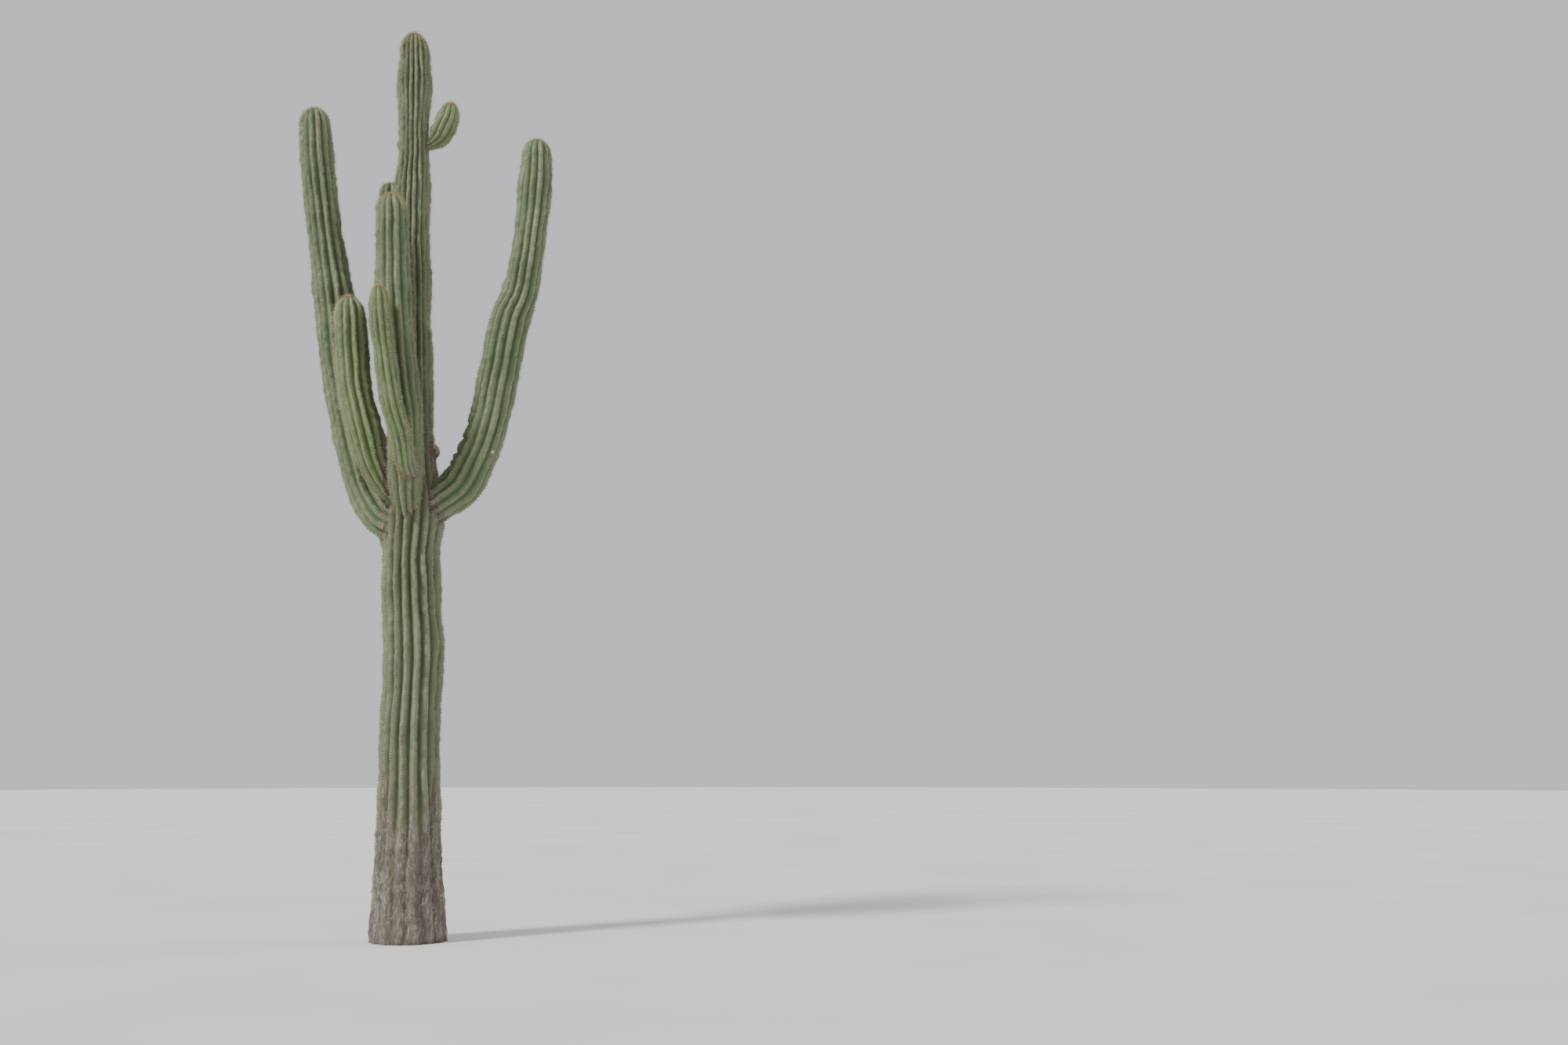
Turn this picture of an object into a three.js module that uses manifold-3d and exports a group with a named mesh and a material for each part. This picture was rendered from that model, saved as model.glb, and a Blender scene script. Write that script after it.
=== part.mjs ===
// A whole saguaro cactus in millimetres, +Z up.
// The origin is the middle of the flat cut at ground level, and -Y is the front.
// Every limb is a ribbed loft: an axis through a few stations, with the reach of its rib crests at each.

import * as THREE from "three";
import Module from "manifold-3d";
import { mergeVertices } from "three/addons/utils/BufferGeometryUtils.js";

// Gap between pieces that touch
const SEAT_GAP = 0.4;

// Rings along a limb, apart by a share of its mean crest radius, and round its domed tip
const RING_SHARE = 1.05;
const TIP_RINGS = 5;

// Points of a mesh closer than this are one point
const WELD = 1e-4;

// Valleys between the ribs, as a share of the crest radius
const VALLEY_SHARE = 0.14;
const COLUMNS_PER_RIB = 2;

// Corky bark fills the valleys at the foot and thins out by this height
const BARK_TOP = 1600;
const BARK_VALLEY_SHARE = 0.05;

const YOUNG_GREEN = 0x6f7f4c;
const GREEN = 0x5f7044;
const OLD_GREEN = 0x69704c;
const ROUGHNESS = 0.85;
const METALNESS = 0;

// A limb's hinge is a fixed direction across the plane that it bends in
const SIDEWAYS = new THREE.Vector3(1, 0, 0);
const FRONTWAYS = new THREE.Vector3(0, -1, 0);
const UP = new THREE.Vector3(0, 0, 1);

// Limbs, root first. A station is [x, y, z, crest radius].
// A limb that bends round a wide gap is made in two pieces, parted at a share of its length.
const LIMBS = [
  {
    ribs: 18,
    hinge: FRONTWAYS,
    tip: 170,
    colour: OLD_GREEN,
    pieces: [{ name: "trunk", from: 0, to: 1 }],
    stations: [
      [0, 0, 0, 335],
      [-20, 0, 500, 302],
      [-40, 0, 1300, 270],
      [-55, 0, 1800, 266],
      [-46, 0, 2180, 258],
      [-46, 0, 2500, 272],
      [-76, 0, 2850, 258],
      [-92, 0, 3100, 263],
      [-102, 0, 3350, 252],
      [-90, 0, 3700, 268],
      [-116, 0, 4120, 214],
      [-138, 0, 4550, 194],
      [-156, 0, 5000, 190],
      [-192, 0, 5880, 179],
      [-214, 0, 6330, 167],
      [-222, 0, 6790, 168],
      [-220, 0, 7070, 140],
      [-233, 0, 7440, 139],
      [-239, 0, 7760, 162],
      [-246, 0, 8000, 149],
      [-262, 0, 8316, 127],
    ],
  },
  {
    ribs: 13,
    hinge: FRONTWAYS,
    tip: 165,
    colour: GREEN,
    pieces: [
      { name: "left_arm_elbow", from: 0, to: 0.2 },
      { name: "left_arm_upright", from: 0.2, to: 1 },
    ],
    stations: [
      [-150, -10, 3590, 185],
      [-345, 0, 3682, 184],
      [-468, 20, 3835, 182],
      [-562, 40, 4040, 182],
      [-718, 90, 4570, 181],
      [-845, 130, 5115, 184],
      [-945, 160, 5750, 183],
      [-1046, 170, 6300, 166],
      [-1133, 160, 6850, 156],
      [-1170, 150, 7130, 162],
      [-1212, 130, 7630, 140],
    ],
  },
  {
    ribs: 13,
    hinge: FRONTWAYS,
    tip: 150,
    colour: GREEN,
    pieces: [
      { name: "right_arm_elbow", from: 0, to: 0.2 },
      { name: "right_arm_upright", from: 0.2, to: 1 },
    ],
    stations: [
      [0, 0, 3732, 166],
      [165, -20, 3836, 180],
      [338, -50, 3972, 195],
      [448, -80, 4175, 188],
      [554, -110, 4450, 179],
      [658, -150, 4950, 183],
      [752, -180, 5465, 182],
      [839, -190, 5690, 164],
      [914, -190, 6260, 146],
      [948, -170, 6725, 158],
      [952, -150, 7195, 130],
    ],
  },
  {
    ribs: 12,
    hinge: SIDEWAYS,
    tip: 160,
    colour: GREEN,
    pieces: [{ name: "front_arm", from: 0, to: 1 }],
    stations: [
      [-115, -60, 3680, 120],
      [-110, -230, 3800, 130],
      [-100, -350, 4050, 160],
      [-97, -400, 4450, 159],
      [-165, -425, 4900, 166],
      [-235, -430, 5500, 166],
      [-270, -430, 6100, 150],
      [-296, -430, 6565, 145],
    ],
  },
  {
    ribs: 11,
    hinge: SIDEWAYS,
    tip: 110,
    colour: GREEN,
    pieces: [{ name: "back_arm", from: 0, to: 1 }],
    stations: [
      [-150, 60, 3950, 95],
      [-225, 205, 4120, 105],
      [-292, 285, 4450, 122],
      [-335, 305, 4700, 130],
      [-385, 310, 5070, 133],
      [-430, 310, 5670, 132],
      [-470, 310, 6290, 128],
      [-503, 310, 6957, 122],
    ],
  },
  {
    ribs: 12,
    hinge: SIDEWAYS,
    tip: 150,
    colour: YOUNG_GREEN,
    pieces: [{ name: "short_left_arm", from: 0, to: 1 }],
    stations: [
      [-180, -90, 3860, 110],
      [-300, -230, 3960, 120],
      [-400, -340, 4165, 148],
      [-478, -370, 4440, 158],
      [-558, -370, 4730, 153],
      [-594, -370, 4980, 156],
      [-634, -370, 5380, 148],
      [-654, -370, 5633, 130],
    ],
  },
  {
    ribs: 10,
    hinge: SIDEWAYS,
    tip: 130,
    colour: YOUNG_GREEN,
    pieces: [{ name: "slim_front_arm", from: 0, to: 1 }],
    stations: [
      [-50, -380, 4000, 75],
      [-50, -540, 4080, 85],
      [-64, -670, 4300, 95],
      [-140, -710, 4550, 96],
      [-222, -720, 4980, 96],
      [-282, -720, 5380, 97],
      [-298, -720, 5622, 82],
    ],
  },
  {
    ribs: 10,
    hinge: FRONTWAYS,
    tip: 110,
    colour: YOUNG_GREEN,
    pieces: [{ name: "upper_pup", from: 0, to: 1 }],
    stations: [
      [-170, 0, 7180, 45],
      [-90, 0, 7200, 52],
      [2, 0, 7266, 92],
      [54, 0, 7375, 106],
      [93, 0, 7490, 99],
      [114, 0, 7626, 82],
    ],
  },
  {
    ribs: 8,
    hinge: FRONTWAYS,
    tip: 55,
    colour: YOUNG_GREEN,
    pieces: [{ name: "side_bud", from: 0, to: 1 }],
    stations: [
      [-20, 0, 4275, 60],
      [55, 0, 4295, 80],
      [110, 0, 4318, 66],
    ],
  },
];

const wasm = await Module();
wasm.setup();

function limbAxis(limb) {
  const places = limb.stations.map(([x, y, z]) => new THREE.Vector3(x, y, z));
  return new THREE.CatmullRomCurve3(places, false, "centripetal");
}

function limbGirth(limb) {
  return new THREE.SplineCurve(limb.stations.map((station, order) => new THREE.Vector2(order, station[3])));
}

// Distances along the limb of the rings of one piece: even steps, then closer ones round the tip
function ringDistances(limb, piece, length) {
  const start = piece.from * length + (piece.from > 0 ? SEAT_GAP : 0);
  const domed = piece.to === 1;
  const end = domed ? length - limb.tip : piece.to * length;
  const reach = limb.stations.reduce((sum, station) => sum + station[3], 0) / limb.stations.length;
  const steps = Math.ceil((end - start) / (RING_SHARE * reach));
  const distances = Array.from({ length: steps + 1 }, (_, step) => start + ((end - start) * step) / steps);
  for (let ring = 1; domed && ring < TIP_RINGS; ring += 1) {
    distances.push(end + limb.tip * Math.sin((ring / TIP_RINGS) * (Math.PI / 2)));
  }
  return distances;
}

// How much of its girth a limb keeps at a distance along it: all of it until the dome of the tip
function domeShare(limb, distance, length) {
  const into = Math.max(0, (distance - (length - limb.tip)) / limb.tip);
  return Math.sqrt(Math.max(0, 1 - into * into));
}

function valleyShare(centre, dome) {
  const bark = THREE.MathUtils.smoothstep(centre.z, 0, BARK_TOP);
  return THREE.MathUtils.lerp(BARK_VALLEY_SHARE, VALLEY_SHARE, bark) * dome;
}

// One ring of points, square to the axis, or level where the ground cuts it.
// It goes out to each crest and in to each valley.
function ringPoints(limb, axis, girth, distance, length, swell) {
  const share = distance / length;
  const centre = axis.getPointAt(share);
  const along = centre.z === 0 ? UP : axis.getTangentAt(share);
  const across = limb.hinge.clone().addScaledVector(along, -limb.hinge.dot(along)).normalize();
  const other = new THREE.Vector3().crossVectors(along, across);
  const dome = domeShare(limb, distance, length);
  const crest = girth.getPoint(axis.getUtoTmapping(share)).y * dome + swell;
  const valley = crest * (1 - valleyShare(centre, dome));
  const columns = limb.ribs * COLUMNS_PER_RIB;
  return Array.from({ length: columns }, (_, column) => {
    const angle = (column / columns) * 2 * Math.PI;
    const reach = column % COLUMNS_PER_RIB === 0 ? crest : valley;
    return centre.clone()
      .addScaledVector(across, reach * Math.cos(angle))
      .addScaledVector(other, reach * Math.sin(angle));
  });
}

// Joins rings of points into a closed body with a middle point at each end
function loft(rings, foot, head) {
  const columns = rings[0].length;
  const points = [foot, ...rings.flat(), head];
  const faces = [];
  const last = points.length - 1;
  const lastRing = last - columns;
  for (let column = 0; column < columns; column += 1) {
    const next = (column + 1) % columns;
    faces.push(0, 1 + next, 1 + column);
    faces.push(last, lastRing + column, lastRing + next);
    for (let ring = 0; ring < rings.length - 1; ring += 1) {
      const low = 1 + ring * columns;
      const high = low + columns;
      faces.push(low + column, low + next, high + next);
      faces.push(low + column, high + next, high + column);
    }
  }
  const geometry = new THREE.BufferGeometry().setFromPoints(points);
  geometry.setIndex(faces);
  return geometry;
}

// The closed geometry of one piece of a limb, grown all round by a swell
function limbGeometry(limb, piece, swell = 0) {
  const axis = limbAxis(limb);
  const girth = limbGirth(limb);
  const length = axis.getLength();
  const distances = ringDistances(limb, piece, length);
  const rings = distances.map((distance) => ringPoints(limb, axis, girth, distance, length, swell));
  const end = piece.to === 1 ? 1 : distances.at(-1) / length;
  return loft(rings, axis.getPointAt(distances[0] / length), axis.getPointAt(end));
}

function solidOf(geometry) {
  const merged = mergeVertices(geometry, WELD);
  return new wasm.Manifold(new wasm.Mesh({
    numProp: 3,
    vertProperties: new Float32Array(merged.attributes.position.array),
    triVerts: new Uint32Array(merged.index.array),
  }));
}

function geometryOf(solid) {
  const { vertProperties, triVerts } = solid.getMesh();
  const geometry = new THREE.BufferGeometry();
  geometry.setAttribute("position", new THREE.BufferAttribute(vertProperties, 3));
  geometry.setIndex(new THREE.BufferAttribute(triVerts, 1));
  return geometry;
}

// Cuts a piece back, clear of every limb that was grown before it, without the slivers left in their valleys
function cutClear(solid, grown) {
  const bodies = grown.reduce((rest, body) => rest.subtract(body), solid).decompose();
  return bodies.reduce((largest, body) => (body.volume() > largest.volume() ? body : largest));
}

function limbMesh(name, geometry, colour) {
  geometry.computeVertexNormals();
  const material = new THREE.MeshStandardMaterial({ color: colour, roughness: ROUGHNESS, metalness: METALNESS });
  const mesh = new THREE.Mesh(geometry, material);
  mesh.name = name;
  return mesh;
}

const cactus = new THREE.Group();
const grown = [];
for (const limb of LIMBS) {
  for (const piece of limb.pieces) {
    const solid = cutClear(solidOf(limbGeometry(limb, piece)), grown);
    cactus.add(limbMesh(piece.name, geometryOf(solid), limb.colour));
  }
  grown.push(solidOf(limbGeometry(limb, { from: 0, to: 1 }, SEAT_GAP)));
}

export default cactus;
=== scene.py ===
"""A whole saguaro cactus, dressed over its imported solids: pleated skins, areoles, spines and felted crowns.

Sizes are in metres, in the part's own frame: +Z up, -Y the front, origin in the flat cut at ground level.
"""

import logging
import math
from dataclasses import dataclass, field, fields, replace
from enum import Enum
from typing import ClassVar

import bpy
import numpy as np
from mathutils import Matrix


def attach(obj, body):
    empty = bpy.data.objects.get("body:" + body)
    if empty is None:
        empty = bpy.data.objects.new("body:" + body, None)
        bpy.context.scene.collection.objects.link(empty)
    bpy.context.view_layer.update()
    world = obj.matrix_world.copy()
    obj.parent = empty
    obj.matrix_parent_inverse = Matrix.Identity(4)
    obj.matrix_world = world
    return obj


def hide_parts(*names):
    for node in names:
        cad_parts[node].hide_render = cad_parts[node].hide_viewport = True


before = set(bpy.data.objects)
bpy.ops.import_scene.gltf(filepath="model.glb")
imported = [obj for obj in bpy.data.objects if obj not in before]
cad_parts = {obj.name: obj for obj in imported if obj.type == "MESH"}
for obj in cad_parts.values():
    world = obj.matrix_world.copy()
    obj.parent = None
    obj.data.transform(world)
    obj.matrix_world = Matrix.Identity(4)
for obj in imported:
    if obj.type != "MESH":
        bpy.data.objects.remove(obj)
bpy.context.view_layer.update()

LOG = logging.getLogger("saguaro")
TURN = 2 * math.pi
BODY = "root"

Array = np.ndarray
Colour = tuple[float, float, float]
Place = tuple[float, float, float]
Station = tuple[float, float, float, float]

# The solids reach into the mat of spines, and the skin lies this far inside them
SKIN_INSET = 0.004

# Mesh columns across one rib, how far apart the rings are, also where a limb is creased, and a tip's rings
RIB_COLUMNS = 12
RING_STEP = 0.022
CREASED_RING_STEP = 0.009
TIP_RINGS = 14

# How far apart the areoles stand along a rib, and how much of that further up every other rib's are
AREOLE_PITCH = 0.0235
STAGGER = 0.5

# How far across a rib its crest is
CREST = 0.5

# What a noise comes to on the whole
MIDDLE = 0.5

# The Mix node's sockets for two colours, and for the colour that it makes of them
FIRST_COLOUR, SECOND_COLOUR, MIXED_COLOUR = 6, 7, 2

# Keeps the way up from vanishing in the middle of a crown
TINY = 1e-6


class Hinge(Enum):
    """Which fixed direction a limb's bend turns about."""

    SIDEWAYS = (1.0, 0.0, 0.0)
    FRONTWAYS = (0.0, -1.0, 0.0)


class Draw(Enum):
    """What a tree's random numbers decide, and how far each shifts the tree's seed.

    The pads have a tree of their own, with a single draw.
    """

    SPIN = 1
    RADIAL_TILT = 2
    CENTRAL_TILT = 3
    LENGTH = 4
    TONE = 5
    PAD_SIZE = 1


class Slot(Enum):
    """The record's material slots."""

    OLD_SKIN = "old_skin"
    ARM_SKIN = "arm_skin"
    YOUNG_SKIN = "young_skin"
    SPINES = "spines"
    CROWN_WOOL = "crown_wool"


class Signal:
    """A node's output socket that takes part in ordinary arithmetic."""

    def __init__(self, graph: "Graph", socket: bpy.types.NodeSocket) -> None:
        """Wraps a socket of a graph."""
        self.graph = graph
        self.socket = socket

    def __add__(self, other: "Value") -> "Signal":
        """Returns self + other."""
        return self.graph.math("ADD", self, other)

    def __radd__(self, other: "Value") -> "Signal":
        """Returns other + self."""
        return self.graph.math("ADD", other, self)

    def __sub__(self, other: "Value") -> "Signal":
        """Returns self - other."""
        return self.graph.math("SUBTRACT", self, other)

    def __rsub__(self, other: "Value") -> "Signal":
        """Returns other - self."""
        return self.graph.math("SUBTRACT", other, self)

    def __mul__(self, other: "Value") -> "Signal":
        """Returns self * other."""
        return self.graph.math("MULTIPLY", self, other)

    def __rmul__(self, other: "Value") -> "Signal":
        """Returns other * self."""
        return self.graph.math("MULTIPLY", other, self)

    def __truediv__(self, other: "Value") -> "Signal":
        """Returns self / other."""
        return self.graph.math("DIVIDE", self, other)

    def __rtruediv__(self, other: "Value") -> "Signal":
        """Returns other / self."""
        return self.graph.math("DIVIDE", other, self)

    def __pow__(self, other: "Value") -> "Signal":
        """Returns self to the power of other."""
        return self.graph.math("POWER", self, other)

    def __rpow__(self, other: "Value") -> "Signal":
        """Returns other to the power of self."""
        return self.graph.math("POWER", other, self)


Value = Signal | float | int | str | tuple | bpy.types.Material


@dataclass(frozen=True)
class Grain:
    """How fine a noise is.

    Attributes:
        scale: Lumps per metre, the same all ways or along each axis.
        detail: How many finer layers it has.
    """

    scale: float | Place
    detail: float = 4.0


class Graph:
    """Builds the nodes of one tree."""

    place: Signal

    def __init__(self, tree: bpy.types.NodeTree) -> None:
        """Starts on an empty tree."""
        self.tree = tree
        self.tree.nodes.clear()

    def node(self, kind: str, settings: dict[str, object] | None = None,
             sockets: dict[str | int, Value] | None = None) -> bpy.types.Node:
        """Adds a node of any type.

        Args:
            kind: The node's type.
            settings: Its properties, set first.
            sockets: Values or signals for its inputs, by name or number.

        Returns:
            The new node.
        """
        node = self.tree.nodes.new(kind)
        for name, value in (settings or {}).items():
            setattr(node, name, value)
        for name, value in (sockets or {}).items():
            self.feed(node.inputs[name], value)
        return node

    def feed(self, socket: bpy.types.NodeSocket, value: Value) -> None:
        """Links a signal to an input, or sets its value.

        Args:
            socket: The input.
            value: What it gets.
        """
        if isinstance(value, Signal):
            self.tree.links.new(value.socket, socket)
        else:
            socket.default_value = value

    def out(self, node: bpy.types.Node, name: str | int = 0) -> Signal:
        """Returns one output of a node."""
        return Signal(self, node.outputs[name])

    def math(self, operation: str, *values: Value) -> Signal:
        """Returns the result of a Math node."""
        sockets = dict(enumerate(values))
        return self.out(self.node("ShaderNodeMath", {"operation": operation}, sockets))

    def vector(self, operation: str, first: Value, second: Value) -> Signal:
        """Returns the result of a Vector Math node on two vectors."""
        return self.out(self.node("ShaderNodeVectorMath", {"operation": operation}, {0: first, 1: second}))

    def scaled(self, vector: Value, scale: Value) -> Signal:
        """Returns a vector times a number."""
        node = self.node("ShaderNodeVectorMath", {"operation": "SCALE"}, {0: vector, "Scale": scale})
        return self.out(node)

    def distance(self, first: Value, second: Value) -> Signal:
        """Returns how far apart two places are."""
        node = self.node("ShaderNodeVectorMath", {"operation": "DISTANCE"}, {0: first, 1: second})
        return self.out(node, "Value")

    def noise(self, grain: Grain) -> Signal:
        """Returns fractal noise over the graph's place.

        Args:
            grain: How fine it is.

        Returns:
            A number from 0 to 1, near the middle on the whole.
        """
        even = isinstance(grain.scale, float)
        where = self.place if even else self.vector("MULTIPLY", self.place, grain.scale)
        sockets = {"Vector": where, "Scale": grain.scale if even else 1.0, "Detail": grain.detail}
        return self.out(self.node("ShaderNodeTexNoise", {}, sockets))

    def ramp(self, value: Value, low: float, high: float, start: float = 0.0, stop: float = 1.0) -> Signal:
        """Steps smoothly from one number to another.

        Args:
            value: What is read.
            low: Where the step starts.
            high: Where it ends.
            start: The result below low.
            stop: The result above high.

        Returns:
            The result.
        """
        settings = {"interpolation_type": "SMOOTHSTEP"}
        sockets = {"Value": value, "From Min": low, "From Max": high, "To Min": start, "To Max": stop}
        return self.out(self.node("ShaderNodeMapRange", settings, sockets))


class ShaderGraph(Graph):
    """The nodes of one material, ending in a Principled shader."""

    def __init__(self, name: str) -> None:
        """Makes an empty material.

        Args:
            name: Its name.
        """
        self.material = bpy.data.materials.new(name)
        self.material.use_nodes = True
        super().__init__(self.material.node_tree)
        self.place = self.out(self.node("ShaderNodeTexCoord"), "Object")

    def fact(self, name: str) -> Signal:
        """Returns a number that the mesh stores at its points."""
        node = self.node("ShaderNodeAttribute", {"attribute_type": "GEOMETRY", "attribute_name": name})
        return self.out(node, "Fac")

    def blend(self, factor: Value, first: Value, second: Value) -> Signal:
        """Returns a mix of two colours.

        Args:
            factor: 0 for the first, 1 for the second.
            first: A colour as three numbers, or a signal.
            second: The other one.

        Returns:
            The colour.
        """
        sockets = {"Factor": factor, FIRST_COLOUR: opaque(first), SECOND_COLOUR: opaque(second)}
        return self.out(self.node("ShaderNodeMix", {"data_type": "RGBA"}, sockets), MIXED_COLOUR)

    def finish(self, colour: Value, roughness: Value, height: Value, relief: float) -> bpy.types.Material:
        """Ends the material in a Principled shader.

        Args:
            colour: The base colour.
            roughness: The roughness.
            height: What the Bump node reads, from 0 to 1.
            relief: How many metres a height of 1 stands for.

        Returns:
            The material.
        """
        bump = self.node("ShaderNodeBump", {}, {"Height": height, "Distance": relief, "Strength": 1.0})
        sockets = {"Base Color": opaque(colour), "Roughness": roughness, "Normal": self.out(bump)}
        shader = self.node("ShaderNodeBsdfPrincipled", {}, sockets)
        self.node("ShaderNodeOutputMaterial", {}, {"Surface": self.out(shader)})
        return self.material


def opaque(colour: Value) -> Value:
    """Returns three plain numbers with an alpha of 1 added, and a signal as it is."""
    return (*colour, 1.0) if isinstance(colour, tuple) else colour


@dataclass(frozen=True)
class Layer:
    """How a layer shows: from what value on, from what value in full, and how strongly."""

    low: float
    high: float
    strength: float = 1.0

    def above(self, value: Signal) -> Signal:
        """Returns how much of it shows, where it shows at high values."""
        return value.graph.ramp(value, self.low, self.high, 0.0, self.strength)

    def below(self, value: Signal) -> Signal:
        """Returns how much of it shows, where it shows at low values."""
        return value.graph.ramp(value, self.low, self.high, self.strength, 0.0)


@dataclass(frozen=True)
class SkinMasks:
    """The noises and masks that a skin's colour, relief and shine are mixed from.

    Attributes:
        ridge: How close to a crest each place is.
        patch: A coarse noise.
        mottle: A finer noise.
        speck: The finest noise.
        wrinkle: A noise drawn out across the ribs.
        streak: A noise drawn out along the ribs.
        crest: Where the crests are.
        beat: A wave that is highest level with each areole.
        areole: Where the areoles are.
        scars: Where it is scarred.
        browned: How far it has browned with age.
        cork: Where it has turned to bark.
        plates: 0 in the bark's cracks and furrows, where shade is painted, and 1 on its plates.
        flakes: 0 in the finer cracks, where shade is painted, and 1 on the flakes.
        knob: Where the crests stand out under each areole.
        scab: The flakes of the scars.
    """

    ridge: Signal
    patch: Signal
    mottle: Signal
    speck: Signal
    wrinkle: Signal
    streak: Signal
    crest: Signal
    beat: Signal
    areole: Signal
    scars: Signal
    browned: Signal
    cork: Signal
    plates: Signal
    flakes: Signal
    knob: Signal
    scab: Signal

    def mixed(self, shares: dict[str, float]) -> Signal:
        """Adds up some of the masks.

        Args:
            shares: How much of each goes in, by its name.

        Returns:
            The sum.
        """
        first, *others = (getattr(self, name) * share for name, share in shares.items())
        return sum(others, first)


@dataclass(frozen=True)
class SkinFinish:
    """Waxy pleated skin, with felted areoles down each crest, healed scars, and cork on old growth.

    Attributes:
        name: The material's name.
        flesh: The skin's usual colour.
        bloom: Its waxier, paler patches.
        shade: Its darker patches, and the painted shade in the valleys between the ribs.
        scarring: How much of it is scarred, from 0 to 1.
        marks: Middles of single pale healed wounds.
        mark_size: How far a healed wound reaches.
        crest: The paler rib crests.
        felt: The skin's colour under an areole.
        scar: Old scars.
        callus: The pale middle of a healed wound.
        cork: Bark.
        pale_cork: Weathered bark.
        crack: Painted shade at the bottom of a crack in the bark, and in the bark's furrows.
        relief: How deep the bump is at most.
        smoothest: How rough it is at least.
    """

    name: str
    flesh: Colour
    bloom: Colour
    shade: Colour
    scarring: float = 0.5
    marks: tuple[Place, ...] = ()
    mark_size: float = 0.016
    crest: Colour = (0.250, 0.250, 0.140)
    felt: Colour = (0.115, 0.090, 0.062)
    scar: Colour = (0.200, 0.150, 0.098)
    callus: Colour = (0.560, 0.520, 0.430)
    cork: Colour = (0.200, 0.172, 0.138)
    pale_cork: Colour = (0.300, 0.275, 0.230)
    crack: Colour = (0.070, 0.056, 0.043)
    relief: float = 0.007
    smoothest: float = 0.50

    # Where each layer of colour starts to show, shows in full, and how strongly
    patches: ClassVar[Layer] = Layer(0.35, 0.68)
    mottling: ClassVar[Layer] = Layer(0.45, 0.75, 0.45)
    streaking: ClassVar[Layer] = Layer(0.50, 0.72, 0.35)
    specking: ClassVar[Layer] = Layer(0.62, 0.72, 0.22)
    # The valleys' layer is painted shade: the valleys between the ribs are darkened
    valleys: ClassVar[Layer] = Layer(0.0, 0.75, 0.75)
    crests: ClassVar[Layer] = Layer(0.88, 1.0)
    pads: ClassVar[tuple[Layer, Layer]] = (Layer(0.55, 0.95), Layer(0.965, 1.0))
    scabs: ClassVar[Layer] = Layer(0.72, 0.75)
    browning: ClassVar[Layer] = Layer(0.15, 0.50)
    corking: ClassVar[Layer] = Layer(0.44, 0.66)
    weathering: ClassVar[Layer] = Layer(0.40, 0.65)

    # How strongly it shows on the crests: level with areoles, where it is mottled, and everywhere
    beat_cover: ClassVar[float] = 0.25
    mottle_cover: ClassVar[float] = 0.5
    least_cover: ClassVar[float] = 0.1

    # How strongly scars show, and how strongly shade is painted along the edges of flakes, in the cracks in
    # the bark and in its furrows
    scar_cover: ClassVar[float] = 0.85
    flake_cover: ClassVar[float] = 0.35
    crack_cover: ClassVar[float] = 0.60
    furrow_cover: ClassVar[float] = 0.8

    # How much further the scars spread on a wholly scarred skin
    scar_spread: ClassVar[float] = 0.10

    # How far each noise shifts the age of the skin, and how far ahead the crests are
    tongue_shift: ClassVar[float] = 1.3
    patch_shift: ClassVar[float] = 0.7
    mottle_shift: ClassVar[float] = 0.35
    crest_lead: ClassVar[float] = 0.08

    # Healed wounds: how far the rim and the pale middle reach, against the whole, and how ragged they are
    rim_share: ClassVar[float] = 1.5
    middle_share: ClassVar[float] = 0.7
    raggedness: ClassVar[float] = 0.9
    least_ragged: ClassVar[float] = 0.55

    # The noises
    patch_grain: ClassVar[Grain] = Grain(2.4, 3.0)
    mottle_grain: ClassVar[Grain] = Grain(17.0, 6.0)
    speck_grain: ClassVar[Grain] = Grain(150.0, 3.0)
    scar_grain: ClassVar[Grain] = Grain(9.0, 8.0)
    mark_grain: ClassVar[Grain] = Grain(55.0, 3.0)
    bark_grain: ClassVar[Grain] = Grain(7.0, 5.0)
    tongue_grain: ClassVar[Grain] = Grain((9.0, 9.0, 1.3))
    wrinkle_grain: ClassVar[Grain] = Grain((14.0, 14.0, 95.0), 5.0)
    streak_grain: ClassVar[Grain] = Grain((60.0, 60.0, 3.0))

    # Cracks in the bark: how fine they are and how wide, as a share of the gap between two
    coarse_cracks: ClassVar[tuple[Grain, float]] = (Grain((26.0, 26.0, 3.4), 5.0), 0.05)
    fine_cracks: ClassVar[tuple[Grain, float]] = (Grain((44.0, 44.0, 11.0), 5.0), 0.03)
    flaking: ClassVar[tuple[Grain, float]] = (Grain((80.0, 80.0, 40.0), 5.0), 0.10)

    # How a crack's width varies along it: the noise, how much it counts, what is taken off, and the least
    gape_grain: ClassVar[Grain] = Grain(8.0, 2.0)
    gape_swing: ClassVar[float] = 2.4
    gape_loss: ClassVar[float] = 0.35
    least_gape: ClassVar[float] = 0.15

    # How much each mask adds to the relief of living skin and of bark, and to the roughness
    living_relief: ClassVar[dict[str, float]] = {
        "knob": 0.26, "wrinkle": 0.20, "mottle": 0.20, "speck": 0.07, "scab": 0.20}
    bark_relief: ClassVar[dict[str, float]] = {"plates": 0.75, "flakes": 0.25, "mottle": 0.40, "speck": 0.15}
    roughening: ClassVar[dict[str, float]] = {"mottle": 0.16, "scars": 0.20, "cork": 0.30}

    def cracks(self, graph: ShaderGraph, grain: Grain, width: float) -> Signal:
        """Draws wandering cracks, wide in some places and closed in others.

        Args:
            graph: The material's nodes.
            grain: How fine they are.
            width: How wide they are, as a share of the gap between two.

        Returns:
            0 along the cracks and 1 between them.
        """
        aside = graph.math("ABSOLUTE", graph.noise(grain) - MIDDLE)
        swing = graph.noise(self.gape_grain) * self.gape_swing - self.gape_loss
        return graph.ramp(aside / graph.math("MAXIMUM", swing, self.least_gape), 0.0, width)

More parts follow.
